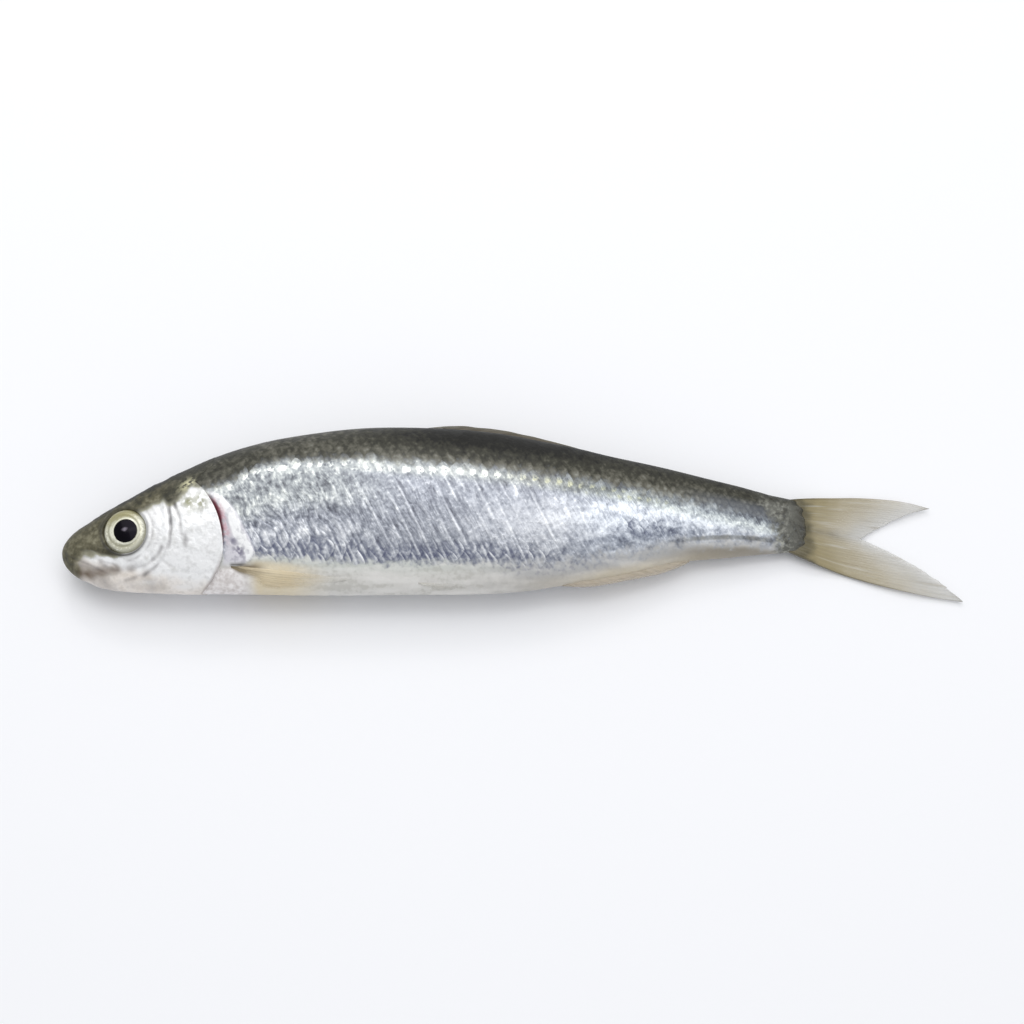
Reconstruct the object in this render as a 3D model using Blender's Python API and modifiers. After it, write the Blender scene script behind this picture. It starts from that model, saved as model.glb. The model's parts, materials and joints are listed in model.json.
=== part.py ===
# One raw lake sardine, whole and uncut, lying on its right flank.
# Metres, +Z up. The snout points to -X, the tail to +X, the back to +Y and the belly to -Y.
# Shapes are worked out with the snout tip at x = 0, y = 0, and set over the origin at the end.

import math

import bmesh
import bpy
import numpy as np

MM = 0.001

# Driving dimensions
FLESH_LENGTH = 95.0 * MM  # snout to the end of the flesh, without the tail fin
SNOUT_ROUND = 3.0 * MM  # length over which the snout rounds off
STUMP_ROUND = 2.4 * MM  # length over which the flesh closes at the tail fin
BACK_FULLNESS = 0.22  # how much wider the back is than the belly
BODY_SEGMENTS = 40
BODY_RINGS = 76

# Side view and thickness along the body, in millimetres:
# place, back above the snout line, belly below it, half thickness, height of the middle plane
STATIONS = (
    (0.0, 2.5, 2.9, 1.9, 4.3),
    (5.0, 4.9, 4.7, 3.0, 4.6),
    (12.0, 8.6, 5.65, 3.9, 4.9),
    (21.0, 12.5, 6.0, 4.55, 5.05),
    (30.0, 14.6, 6.3, 5.2, 5.0),
    (42.0, 15.4, 6.55, 5.6, 5.0),
    (56.0, 14.4, 6.6, 5.3, 4.7),
    (68.0, 11.5, 5.1, 4.5, 3.95),
    (80.0, 8.6, 2.6, 3.2, 2.8),
    (90.0, 6.2, 1.7, 2.2, 1.95),
    (95.0, 5.4, 1.3, 1.5, 1.35),
)
BACK, BELLY, HALF_THICKNESS, MIDDLE = 1, 2, 3, 4

# Eye
EYE_PLACE = 8.5 * MM
EYE_HEIGHT = 1.75 * MM
EYE_RADIUS = 2.8 * MM
EYE_DEPTH = 1.5 * MM  # half the thickness of the lens-shaped ball
EYE_SINK = 1.0 * MM  # how far the ball's centre lies under the skin
SOCKET_GAP = 0.3 * MM

# Gill cover: its rear edge is an arc in the side view, steeper below than above
GILL_FRONT = 13.0 * MM
GILL_REAR = 21.1 * MM
GILL_REAR_HEIGHT = -0.6 * MM
GILL_RADIUS_UPPER = 12.0 * MM
GILL_RADIUS_LOWER = 4.8 * MM
GILL_LIFT = 0.36 * MM
GILL_SINK = 0.12 * MM  # how far the plate's other edges lie under the skin
GILL_TOP_TURN = math.radians(48.0)
GILL_LOW_TURN = math.radians(170.0)
PLATE_THICKNESS = 1.0 * MM

# Mouth: a groove from the snout tip, down and back under the front of the eye
MOUTH_LENGTH = 5.6 * MM
MOUTH_DROP = 3.0 * MM
MOUTH_RADIUS = 0.22 * MM
MOUTH_START = 0.03  # share of the mouth line at which each side's groove begins
MOUTH_STEPS = 11
WELD = 0.001 * MM  # the caps of a converted curve are joined to its tube within this

# Paired fins lie flat on the flank: place and turn of the base, length, turn of the tip, widest angle
PECTORAL = dict(start=22.0 * MM, length=16.0 * MM, turn=133.0, tip_turn=150.0, spread=25.0)
PELVIC = dict(start=45.5 * MM, length=7.0 * MM, turn=155.0, tip_turn=158.0, spread=12.0)
FIN_ROOT_TURN = 6.0
FIN_TIP_TURN = 2.5
FIN_RAISE = 0.30 * MM
FIN_EMBED = 0.75 * MM

# Folded fins on the midline: start, length and height above the outline
DORSAL = dict(start=47.0 * MM, length=23.0 * MM, front=0.75 * MM, rear=0.65 * MM)
ANAL = dict(start=64.5 * MM, length=15.5 * MM, front=0.7 * MM, rear=1.2 * MM)
RIDGE_THICKNESS = 0.7 * MM
RIDGE_ROOT = 1.3 * MM

# Tail fin, in the side view: root, control point and tip of each leading edge, and the fork
TAIL_ROOT = 92.6 * MM
TAIL_UPPER = ((92.6, 5.5), (104.0, 6.9), (111.6, 4.2))
TAIL_LOWER = ((92.6, -1.3), (104.0, -6.6), (115.0, -8.3))
TAIL_FORK = (102.4, 0.4)
TAIL_UPPER_BULGE = (107.4, 3.4)
TAIL_LOWER_BULGE = (111.0, -3.6)
TAIL_THICKNESS = 0.5 * MM
TAIL_LIE = 0.4 * MM  # height of the flat part of the tail fin
TAIL_SETTLE = 8.0 * MM  # length over which the fin comes down to it


# Values along the body

def along(place, column):
    """Smooth value of one column of STATIONS at a distance from the snout."""
    knots = np.array([row[0] for row in STATIONS]) * MM
    values = np.array([row[column] for row in STATIONS]) * MM
    slopes = np.gradient(values, knots)
    place = np.clip(place, knots[0], knots[-1])
    index = np.clip(np.searchsorted(knots, place, side="right") - 1, 0, len(knots) - 2)
    span = knots[index + 1] - knots[index]
    t = (place - knots[index]) / span
    start = values[index] * (1 + 2 * t) + slopes[index] * span * t
    end = values[index + 1] * (3 - 2 * t) - slopes[index + 1] * span * (1 - t)
    return start * (1 - t) ** 2 + end * t ** 2


def section(place):
    """Middle height in the side view, half depth, half thickness and middle plane of a section."""
    snout = np.clip(1 - place / SNOUT_ROUND, 0, 1)
    stump = np.clip(1 - (FLESH_LENGTH - place) / STUMP_ROUND, 0, 1)
    snout_share = np.sqrt(1 - snout ** 2)
    depth_share = snout_share * (1 - stump ** 4) ** 0.25
    thick_share = snout_share * np.sqrt(1 - stump ** 2)
    back = along(place, BACK) * snout_share
    belly = along(place, BELLY) * snout_share
    middle = (back - belly) / 2
    half_depth = (along(place, BACK) + along(place, BELLY)) / 2 * depth_share
    return middle, half_depth, along(place, HALF_THICKNESS) * thick_share, along(place, MIDDLE)


def skin(place, turn, lift=0.0):
    """Point on the skin. Turn 0 is the back, 90 degrees the upper flank, 180 the belly."""
    middle, half_depth, half_thickness, middle_plane = section(place)
    across = np.cos(turn)
    y = middle + (half_depth + lift) * across
    z = middle_plane + (half_thickness + lift) * np.sin(turn) * (1 + BACK_FULLNESS * across)
    return np.stack(np.broadcast_arrays(place, y, z), axis=-1)


def turn_at(place, height):
    """Turn of the point of the upper flank at a height in the side view."""
    middle, half_depth, _, _ = section(place)
    return np.arccos(np.clip((height - middle) / half_depth, -1, 1))


# Mesh helpers

def move_points(obj, shape):
    """Give every vertex of a primitive the place that a function works out from its own."""
    mesh = obj.data
    points = np.empty(len(mesh.vertices) * 3)
    mesh.vertices.foreach_get("co", points)
    points = shape(points.reshape(-1, 3))
    mesh.vertices.foreach_set("co", points.ravel())
    mesh.update()


def keep_in(obj, collection):
    """Move an object to one collection only."""
    for other in list(obj.users_collection):
        other.objects.unlink(obj)
    collection.objects.link(obj)
    return obj


def apply_modifiers(obj):
    """Replace an object's mesh by the one that its modifiers give."""
    graph = bpy.context.evaluated_depsgraph_get()
    mesh = bpy.data.meshes.new_from_object(obj.evaluated_get(graph))
    obj.modifiers.clear()
    obj.data = mesh
    mesh.name = obj.name


def make_sheet(name, collection, columns, rows, shape, thickness, offset):
    """Closed plate: a grid whose two coordinates run from 0 to 1, bent by a function and thickened."""
    bpy.ops.mesh.primitive_grid_add(x_subdivisions=columns, y_subdivisions=rows, size=2)
    obj = keep_in(bpy.context.object, collection)
    obj.name = name
    move_points(obj, lambda points: shape((points[:, 0] + 1) / 2, (points[:, 1] + 1) / 2))
    solidify = obj.modifiers.new("thickness", "SOLIDIFY")
    solidify.thickness = thickness
    solidify.offset = offset
    apply_modifiers(obj)
    return obj


def make_material(name, color, roughness, metallic):
    material = bpy.data.materials.new(name)
    material.use_nodes = True
    shader = material.node_tree.nodes["Principled BSDF"]
    shader.inputs["Base Color"].default_value = (*color, 1)
    shader.inputs["Roughness"].default_value = roughness
    shader.inputs["Metallic"].default_value = metallic
    material.diffuse_color = (*color, 1)
    return material


# Body

def shape_body(points):
    """Reshape a unit sphere whose poles become the snout and the end of the flesh."""
    place = FLESH_LENGTH * (1 + np.clip(points[:, 2], -1, 1)) / 2
    shaped = skin(place, np.arctan2(points[:, 1], points[:, 0]))
    shaped[:, 2] = np.maximum(shaped[:, 2], 0)
    return shaped


def make_body(collection):
    bpy.ops.mesh.primitive_uv_sphere_add(segments=BODY_SEGMENTS, ring_count=BODY_RINGS, radius=1)
    obj = keep_in(bpy.context.object, collection)
    obj.name = "sardine"
    move_points(obj, shape_body)
    return obj


# Gill covers

def gill_edge(height):
    """Place of the gill cover's rear edge at a height in the side view."""
    away = height - GILL_REAR_HEIGHT
    radius = np.where(away > 0, GILL_RADIUS_UPPER, GILL_RADIUS_LOWER)
    return GILL_REAR - away ** 2 / (2 * radius)


def make_gill_cover(collection, side):
    def shape(forward, down):
        turn = GILL_LOW_TURN + (GILL_TOP_TURN - GILL_LOW_TURN) * down
        edge = gill_edge(skin(np.full_like(turn, GILL_REAR), turn)[:, 1])
        place = GILL_FRONT + (edge - GILL_FRONT) * forward
        ends = np.clip(6 * down * (1 - down), 0, 1)
        lift = (GILL_LIFT + GILL_SINK) * forward ** 2 * ends * (2 - ends) - GILL_SINK
        return skin(place, side * turn, lift)
    return make_sheet("gill_cover", collection, 8, 18, shape, PLATE_THICKNESS, -side)


# Paired fins

def make_paired_fin(name, collection, side, fin):
    def shape(out, across):
        spread = FIN_ROOT_TURN + fin["spread"] * np.sin(math.pi * out ** 0.85) * (1 - 0.35 * out)
        spread = spread + (FIN_TIP_TURN - FIN_ROOT_TURN) * out
        upper = fin["turn"] + (fin["tip_turn"] - fin["turn"]) * out
        turn = np.radians(upper + spread * (1 - across))
        place = fin["start"] + fin["length"] * out * (1 - 0.12 * (1 - across))
        return skin(place, side * turn, FIN_RAISE)
    return make_sheet(name, collection, 12, 5, shape, FIN_RAISE + FIN_EMBED, -side)


# Folded fins on the midline

def make_ridge(name, collection, column, side, fin):
    """Low thin ridge: the rays of a fin folded back along the outline."""
    def shape(rearward, out):
        place = fin["start"] + fin["length"] * rearward
        height = fin["front"] + (fin["rear"] - fin["front"]) * rearward
        rise = np.clip(rearward / 0.12, 0, 1)
        end = np.clip((1 - rearward) / 0.08, 0, 1)
        height = height * np.sqrt(rise * (2 - rise)) * (0.35 + 0.65 * end)
        y = side * (along(place, column) - RIDGE_ROOT + (RIDGE_ROOT + height) * out)
        return np.stack((place, y, along(place, MIDDLE)), axis=-1)
    return make_sheet(name, collection, 20, 4, shape, RIDGE_THICKNESS, 0)


# Tail fin

def bend(start, control, end, t):
    """Point of a quadratic curve."""
    start, control, end = (np.array(point) * MM for point in (start, control, end))
    t = t[:, None]
    return start * (1 - t) ** 2 + control * 2 * t * (1 - t) + end * t ** 2


def tail_lobe(leading, bulge, out, share):
    """Points of one lobe: share runs from 0 on the fork line to 1 on the leading edge."""
    root, _, tip = (np.array(point) * MM for point in leading)
    fork_root = (np.array(TAIL_UPPER[0]) + np.array(TAIL_LOWER[0])) / 2 * MM
    share_column, out_column = share[:, None], out[:, None]
    start = fork_root + (root - fork_root) * share_column
    end = bend(TAIL_FORK, bulge, leading[2], share)
    bow = bend(*leading, out) - (root + (tip - root) * out_column)
    return start + (end - start) * out_column + bow * share_column ** 1.5


def tail_height(place):
    """Height of the middle of the tail fin, which comes down from the flesh to the table."""
    settle = np.clip((place - TAIL_ROOT) / TAIL_SETTLE, 0, 1)
    settle = settle * settle * (3 - 2 * settle)
    root_height = along(TAIL_ROOT, MIDDLE)
    return root_height + (TAIL_LIE - root_height) * settle


def make_tail_fin(collection):
    def shape(out, across):
        share = np.abs(2 * across - 1)
        upper = tail_lobe(TAIL_UPPER, TAIL_UPPER_BULGE, out, share)
        lower = tail_lobe(TAIL_LOWER, TAIL_LOWER_BULGE, out, share)
        flat = np.where(across[:, None] > 0.5, upper, lower)
        return np.column_stack((flat, tail_height(flat[:, 0])))
    return make_sheet("tail_fin", collection, 14, 24, shape, TAIL_THICKNESS, 0)


# Eyes and their sockets

def make_ball(name, collection, side, grow):
    """Lens-shaped ball set square to the skin of the head."""
    place = np.array([EYE_PLACE])
    turn = turn_at(place, EYE_HEIGHT) * side
    step = 0.5 * MM
    centre = skin(place, turn)[0]
    forward = skin(place + step, turn)[0] - skin(place - step, turn)[0]
    upward = skin(place, turn - side * 0.05)[0] - skin(place, turn + side * 0.05)[0]
    normal = np.cross(forward, upward) * side
    normal = normal / np.linalg.norm(normal)
    normal[2] = abs(normal[2]) * side
    first = forward / np.linalg.norm(forward)
    second = np.cross(normal, first)
    centre = centre - normal * EYE_SINK

    bpy.ops.mesh.primitive_uv_sphere_add(segments=32, ring_count=14, radius=1)
    obj = keep_in(bpy.context.object, collection)
    obj.name = name
    radius = EYE_RADIUS + grow
    depth = EYE_DEPTH + grow
    axes = np.array((first * radius, second * radius, normal * depth))
    move_points(obj, lambda points: centre + points @ axes)
    return obj


# Mouth groove cutters

def make_mouth_cutter(collection, side):
    """Tube along the mouth line of one flank, from the snout tip to the corner of the mouth."""
    points = []
    for share in np.linspace(MOUTH_START, 1.0, MOUTH_STEPS):
        place = np.array([MOUTH_LENGTH * share])
        points.append(skin(place, side * turn_at(place, -MOUTH_DROP * share ** 0.8))[0])
    curve = bpy.data.curves.new("mouth_line", "CURVE")
    curve.dimensions = "3D"
    curve.bevel_depth = MOUTH_RADIUS
    curve.bevel_resolution = 2
    curve.use_fill_caps = True
    spline = curve.splines.new("POLY")
    spline.points.add(len(points) - 1)
    for target, point in zip(spline.points, points):
        target.co = (*point, 1)
    tube = bpy.data.objects.new("mouth_line", curve)
    collection.objects.link(tube)
    graph = bpy.context.evaluated_depsgraph_get()
    mesh = bpy.data.meshes.new_from_object(tube.evaluated_get(graph))
    cutter = bpy.data.objects.new("mouth_cutter", mesh)
    cutter.matrix_world = tube.matrix_world
    collection.objects.link(cutter)
    bpy.data.objects.remove(tube)
    cage = bmesh.new()
    cage.from_mesh(mesh)
    bmesh.ops.remove_doubles(cage, verts=cage.verts, dist=WELD)
    cage.to_mesh(mesh)
    cage.free()


def boolean(obj, collection, operation):
    """Apply one Boolean with a whole collection and remove what it used."""
    modifier = obj.modifiers.new(operation.lower(), "BOOLEAN")
    modifier.operation = operation
    modifier.operand_type = "COLLECTION"
    modifier.collection = collection
    modifier.solver = "EXACT"
    bpy.context.view_layer.update()
    apply_modifiers(obj)
    for used in list(collection.objects):
        bpy.data.objects.remove(used)
    bpy.data.collections.remove(collection)


def new_collection(name):
    collection = bpy.data.collections.new(name)
    bpy.context.scene.collection.children.link(collection)
    return collection


def stand_over_origin(objects):
    """Hang every solid on one empty that brings the middle of their common box over the origin."""
    bpy.context.view_layer.update()
    corners = np.array([obj.matrix_world @ vertex.co for obj in objects for vertex in obj.data.vertices])
    low, high = corners.min(axis=0), corners.max(axis=0)
    stand = bpy.data.objects.new("fish_stand", None)
    bpy.context.scene.collection.objects.link(stand)
    stand.location = (-(low[0] + high[0]) / 2, -(low[1] + high[1]) / 2, -low[2])
    for obj in objects:
        obj.parent = stand


def main():
    for obj in list(bpy.data.objects):
        bpy.data.objects.remove(obj)

    fish = new_collection("raw_sardine")
    joined = new_collection("joined_pieces")
    body = make_body(fish)
    make_tail_fin(joined)
    make_ridge("dorsal_fin", joined, BACK, 1, DORSAL)
    make_ridge("anal_fin", joined, BELLY, -1, ANAL)
    for side in (1, -1):
        make_gill_cover(joined, side)
        make_paired_fin("pectoral_fin", joined, side, PECTORAL)
        make_paired_fin("pelvic_fin", joined, side, PELVIC)
    boolean(body, joined, "UNION")

    cutters = new_collection("cutters")
    eyes = []
    for side, name in ((1, "eye_left"), (-1, "eye_right")):
        make_mouth_cutter(cutters, side)
        make_ball("socket_cutter", cutters, side, SOCKET_GAP)
        eyes.append(make_ball(name, fish, side, 0.0))
    boolean(body, cutters, "DIFFERENCE")

    body.data.materials.clear()
    body.data.materials.append(make_material("silver_skin", (0.52, 0.54, 0.57), 0.3, 0.5))
    eye_material = make_material("wet_eye", (0.62, 0.61, 0.52), 0.1, 0.0)
    for eye in eyes:
        eye.data.materials.append(eye_material)
    for obj in [body] + eyes:
        obj.data.shade_smooth()
        obj.data.set_sharp_from_angle(angle=math.radians(35))
    stand_over_origin([body] + eyes)


main()
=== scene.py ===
# Looks of one raw lake sardine lying on its right flank, head to -X and back to +Y
import json
import math

import bmesh
import bpy
import numpy as np
from mathutils import Matrix, Vector

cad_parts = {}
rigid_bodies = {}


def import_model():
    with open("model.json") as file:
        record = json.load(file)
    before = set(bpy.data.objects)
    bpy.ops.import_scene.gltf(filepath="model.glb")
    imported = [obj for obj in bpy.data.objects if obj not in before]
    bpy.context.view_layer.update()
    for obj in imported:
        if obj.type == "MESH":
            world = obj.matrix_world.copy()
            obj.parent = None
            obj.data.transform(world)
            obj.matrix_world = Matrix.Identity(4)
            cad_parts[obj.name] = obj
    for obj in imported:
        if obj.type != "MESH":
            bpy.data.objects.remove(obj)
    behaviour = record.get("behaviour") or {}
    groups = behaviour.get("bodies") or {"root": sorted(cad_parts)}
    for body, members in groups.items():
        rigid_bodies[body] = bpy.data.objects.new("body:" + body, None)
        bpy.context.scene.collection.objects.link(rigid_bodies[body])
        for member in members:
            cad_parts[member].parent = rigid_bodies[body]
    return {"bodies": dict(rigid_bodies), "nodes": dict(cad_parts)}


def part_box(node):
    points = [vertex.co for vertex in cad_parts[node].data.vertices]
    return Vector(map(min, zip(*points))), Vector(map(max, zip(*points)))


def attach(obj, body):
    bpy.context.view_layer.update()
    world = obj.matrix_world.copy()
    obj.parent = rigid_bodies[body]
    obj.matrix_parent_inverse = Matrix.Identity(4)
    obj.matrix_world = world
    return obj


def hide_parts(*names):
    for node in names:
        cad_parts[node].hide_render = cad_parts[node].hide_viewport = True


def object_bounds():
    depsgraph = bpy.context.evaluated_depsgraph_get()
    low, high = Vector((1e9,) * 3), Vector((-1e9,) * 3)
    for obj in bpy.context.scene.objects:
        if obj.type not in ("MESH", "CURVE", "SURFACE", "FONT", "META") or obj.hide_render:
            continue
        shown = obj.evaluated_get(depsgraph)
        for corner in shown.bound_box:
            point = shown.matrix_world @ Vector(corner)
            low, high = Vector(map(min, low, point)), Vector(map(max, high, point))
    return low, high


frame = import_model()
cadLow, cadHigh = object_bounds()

mm = 0.001
rowNodes = set(frame["nodes"].values()) | set(frame["bodies"].values())
for leftover in [obj for obj in bpy.data.objects if obj not in rowNodes]:
    bpy.data.objects.remove(leftover)

# Shapes are worked out in millimetres with the snout tip at 0, 0, and moved to the row's frame at the end.
# The tail fin's lower tip is the lowest point of the side view.
tailTipDrop = 8.3
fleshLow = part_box("sardine")[0]
localOrigin = np.array((fleshLow.x, fleshLow.y + tailTipDrop * mm, 0.0))


# Colours and shader expressions

def tint(red, green, blue):
    # a colour as it looks on a screen, 0 to 255, turned into the linear colour that shaders take
    screen = [part / 255 for part in (red, green, blue)]
    linear = [((part + 0.055) / 1.055) ** 2.4 if part > 0.04 else part / 12.92 for part in screen]
    return (*linear, 1.0)


class Wire:
    # an output socket that takes part in sums
    def __init__(self, socket):
        self.socket = socket
        self.tree = socket.id_data

    @classmethod
    def add(cls, tree, kind, settings=None, inputs=None, output=0):
        node = tree.nodes.new(kind)
        for name, value in (settings or {}).items():
            if name == "stops":
                setStops(node.color_ramp, value)
            else:
                setattr(node, name, value)
        for name, value in (inputs or {}).items():
            if isinstance(value, Wire):
                tree.links.new(value.socket, node.inputs[name])
            else:
                node.inputs[name].default_value = value
        return cls(node.outputs[output])

    def math(self, operation, *others):
        inputs = dict(enumerate((self, *others)))
        return Wire.add(self.tree, "ShaderNodeMath", {"operation": operation}, inputs)

    def __add__(self, other):
        return self.math("ADD", other)

    def __sub__(self, other):
        return self.math("SUBTRACT", other)

    def __rsub__(self, other):
        return Wire.add(self.tree, "ShaderNodeMath", {"operation": "SUBTRACT"}, {0: other, 1: self})

    def __mul__(self, other):
        return self.math("MULTIPLY", other)

    def __pow__(self, other):
        return self.math("POWER", other)

    __radd__ = __add__
    __rmul__ = __mul__

    def rise(self, low, high):
        # 0 below low, 1 above high and smooth between; falls where low is the greater
        sockets = {"Value": self, "From Min": low, "From Max": high}
        return Wire.add(self.tree, "ShaderNodeMapRange", {"interpolation_type": "SMOOTHSTEP"}, sockets)

    def near(self, level, far, close=0.0):
        # 1 within close of a level and 0 further from it than far
        return (self - level).math("ABSOLUTE").rise(far, close)

    def split(self):
        node = Wire.add(self.tree, "ShaderNodeSeparateXYZ", inputs={0: self}).socket.node
        return [Wire(socket) for socket in node.outputs]


def setStops(ramp, stops):
    while len(ramp.elements) < len(stops):
        ramp.elements.new(1.0)
    for element, (position, color) in zip(ramp.elements, stops):
        element.position = position
        element.color = color


def treeOf(*parts):
    return next(part.tree for part in parts if isinstance(part, Wire))


def mapVector(tree, name):
    return Wire.add(tree, "ShaderNodeAttribute", {"attribute_name": name}, output="Vector")


def readMap(tree, name):
    return mapVector(tree, name).split()


def mixColor(share, first, second, blend="MIX"):
    settings = {"data_type": "RGBA", "blend_type": blend, "clamp_result": True}
    sockets = {0: share, 6: first, 7: second}
    return Wire.add(treeOf(share, first, second), "ShaderNodeMix", settings, sockets, output=2)


def layered(color, *layers):
    # lays each layer over those before it: its share, its colour and, unless it is a plain mix, its blend
    for share, *paint in layers:
        color = mixColor(share, color, *paint)
    return color


def rampColor(value, stops):
    return Wire.add(value.tree, "ShaderNodeValToRGB", {"stops": stops}, {0: value})


def joinVector(*parts):
    return Wire.add(treeOf(*parts), "ShaderNodeCombineXYZ", inputs=dict(enumerate(parts)))


def noiseValue(vector, scale=1.0, detail=1.0, roughness=0.5):
    sockets = {"Vector": vector, "Scale": scale, "Detail": detail, "Roughness": roughness}
    return Wire.add(vector.tree, "ShaderNodeTexNoise", inputs=sockets)


def noisesOver(spot, settings):
    # one noise for each name in the settings: scale for a millimetre, detail and roughness
    return [noiseValue(spot, *setting) for setting in settings.values()]


def stretchedNoises(spot, settings):
    # noises with a scale of their own along each axis
    scaled = [Wire.add(spot.tree, "ShaderNodeVectorMath", {"operation": "MULTIPLY"}, {0: spot, 1: scales})
              for scales in settings.values()]
    return [noiseValue(vector) for vector in scaled]


def placeInMm(tree):
    # the point's place in the row's frame, in millimetres
    inMetres = Wire.add(tree, "ShaderNodeTexCoord", output="Object")
    return Wire.add(tree, "ShaderNodeVectorMath", {"operation": "SCALE"}, {0: inMetres, "Scale": 1 / mm})


def bumpNormal(height):
    # the height is in millimetres
    return Wire.add(height.tree, "ShaderNodeBump", inputs={"Strength": 1.0, "Distance": mm, "Height": height})


def newMaterial(name, constants):
    material = bpy.data.materials.new(name)
    material.use_nodes = True
    shader = material.node_tree.nodes["Principled BSDF"]
    for socket, value in constants.items():
        shader.inputs[socket].default_value = value
    return material, material.node_tree, shader


def feed(shader, links):
    for socket, wire in links.items():
        wire.tree.links.new(wire.socket, shader.inputs[socket])


# Numbers over the surface

def smoothThrough(position, knots, values):
    # smooth curve through a few values
    knots, values = np.asarray(knots, float), np.asarray(values, float)
    slopes = np.gradient(values, knots)
    position = np.clip(position, knots[0], knots[-1])
    index = np.clip(np.searchsorted(knots, position, side="right") - 1, 0, len(knots) - 2)
    span = knots[index + 1] - knots[index]
    t = (position - knots[index]) / span
    start = values[index] * (1 + 2 * t) + slopes[index] * span * t
    end = values[index + 1] * (3 - 2 * t) - slopes[index + 1] * span * (1 - t)
    return start * (1 - t) ** 2 + end * t ** 2


def smoothStep(low, high, value):
    # 0 at low and 1 at high, which may be the smaller of the two
    t = np.clip((value - low) / (high - low), 0, 1)
    return t * t * (3 - 2 * t)


def between(value, start, full, fade, end):
    # 1 from full to fade, and 0 before start and after end
    return smoothStep(start, full, value) * smoothStep(end, fade, value)


def bell(distance, width):
    return np.exp(-(distance / width) ** 2)


def oval(place, height, mark):
    # soft spot in the side view: its place and half length, its height and half width
    atPlace, halfLength, atHeight, halfWidth = mark
    return bell(place - atPlace, halfLength) * bell(height - atHeight, halfWidth)


def ovals(place, height, marks):
    return sum(strength * oval(place, height, mark) for strength, mark in marks)


def lineDistance(place, height, knots):
    # distance in the side view from a smooth line through a few points
    knots = np.array(knots)
    steps = np.linspace(0, len(knots) - 1, 12 * len(knots))
    nearest = np.full(place.shape, np.inf)
    lineX, lineY = (smoothThrough(steps, np.arange(len(knots)), column) for column in knots.T)
    for k in range(len(steps) - 1):
        stepX, stepY = lineX[k + 1] - lineX[k], lineY[k + 1] - lineY[k]
        share = ((place - lineX[k]) * stepX + (height - lineY[k]) * stepY) / (stepX ** 2 + stepY ** 2)
        share = np.clip(share, 0, 1)
        away = np.hypot(place - lineX[k] - share * stepX, height - lineY[k] - share * stepY)
        nearest = np.minimum(nearest, away)
    return nearest


def ripples(first, second, wavelength, seed, count=7):
    # soft uneven field between about -1 and 1
    draw = np.random.default_rng(seed)
    total = np.zeros(np.broadcast(first, second).shape)
    for _ in range(count):
        angle, phase, stretch = draw.uniform(0, math.tau), draw.uniform(0, math.tau), draw.uniform(0.7, 1.4)
        travel = first * math.cos(angle) + second * math.sin(angle)
        total += np.sin(travel * math.tau / wavelength * stretch + phase)
    return total / math.sqrt(count * 2)


def packed(*fields):
    # up to three fields as one map, with 0 for what is left out
    return np.stack(np.broadcast_arrays(*(*fields, 0.0, 0.0)[:3]), axis=-1)


def unitGrid(rows, columns):
    return np.meshgrid(np.linspace(0, 1, rows), np.linspace(0, 1, columns), indexing="ij")


# The body's form: place from the snout, back above the snout line, belly below it,
# half thickness, height of the middle plane
bodyStations = np.array((
    (0.0, 2.5, 2.9, 1.9, 4.3),
    (5.0, 4.9, 4.7, 3.0, 4.6),
    (12.0, 8.6, 5.65, 3.9, 4.9),
    (21.0, 12.5, 6.0, 4.55, 5.05),
    (30.0, 14.6, 6.3, 5.2, 5.0),
    (42.0, 15.4, 6.55, 5.6, 5.0),
    (56.0, 14.4, 6.6, 5.3, 4.7),
    (68.0, 11.5, 5.1, 4.5, 3.95),
    (80.0, 8.6, 2.6, 3.2, 2.8),
    (90.0, 6.2, 1.7, 2.2, 1.95),
    (95.0, 5.4, 1.3, 1.5, 1.35),
))
body = {"fleshLength": 95.0, "snoutRound": 3.0, "stumpRound": 2.4, "backFullness": 0.22, "widest": 42.0}


def along(place, column):
    return smoothThrough(place, bodyStations[:, 0], bodyStations[:, column])


def section(place):
    # middle and half depth in the side view, half thickness and height of the middle plane
    snout = np.clip(1 - place / body["snoutRound"], 0, 1)
    stump = np.clip(1 - (body["fleshLength"] - place) / body["stumpRound"], 0, 1)
    snoutShare = np.sqrt(1 - snout ** 2)
    depthShare = snoutShare * (1 - stump ** 4) ** 0.25
    thickShare = snoutShare * np.sqrt(1 - stump ** 2)
    back, belly = along(place, 1), along(place, 2)
    middle, halfDepth = (back - belly) / 2 * snoutShare, (back + belly) / 2 * depthShare
    return middle, halfDepth, along(place, 3) * thickShare, along(place, 4)


def skin(place, turn, lift=0.0):
    # turn 0 is the back, a quarter turn the upper flank and a half turn the belly
    middle, halfDepth, halfThickness, middlePlane = section(place)
    across = np.cos(turn)
    height = middle + (halfDepth + lift) * across
    depth = middlePlane + (halfThickness + lift) * np.sin(turn) * (1 + body["backFullness"] * across)
    return np.stack(np.broadcast_arrays(place, height, depth), axis=-1)


def turnAt(place, height):
    middle, halfDepth, _, _ = section(place)
    return np.arccos(np.clip((height - middle) / halfDepth, -1, 1))


def evenTurns(place, segments):
    # turns that stand the same arc apart at one place along the body
    fine = np.linspace(0, math.tau, 2001)
    ring = skin(np.full_like(fine, place), fine)
    arc = np.concatenate(([0.0], np.cumsum(np.linalg.norm(np.diff(ring, axis=0), axis=1))))
    return np.interp(np.linspace(0, arc[-1], segments, endpoint=False), arc, fine)


def halfTurn(turn):
    # 0 at the back and half a turn at the belly, the same on both flanks
    return np.minimum(turn, math.tau - turn)


def ringNormals(points):
    lengthwise = np.gradient(points, axis=0)
    sideways = np.roll(points, -1, axis=1) - np.roll(points, 1, axis=1)
    normal = np.cross(sideways, lengthwise)
    return normal / np.maximum(np.linalg.norm(normal, axis=2, keepdims=True), 1e-9)


def onTable(points, floor=0.0):
    # presses what would sink through the table up to a lowest level
    points[..., 2] = np.maximum(points[..., 2], floor)
    return points


# Mesh makers

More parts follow.
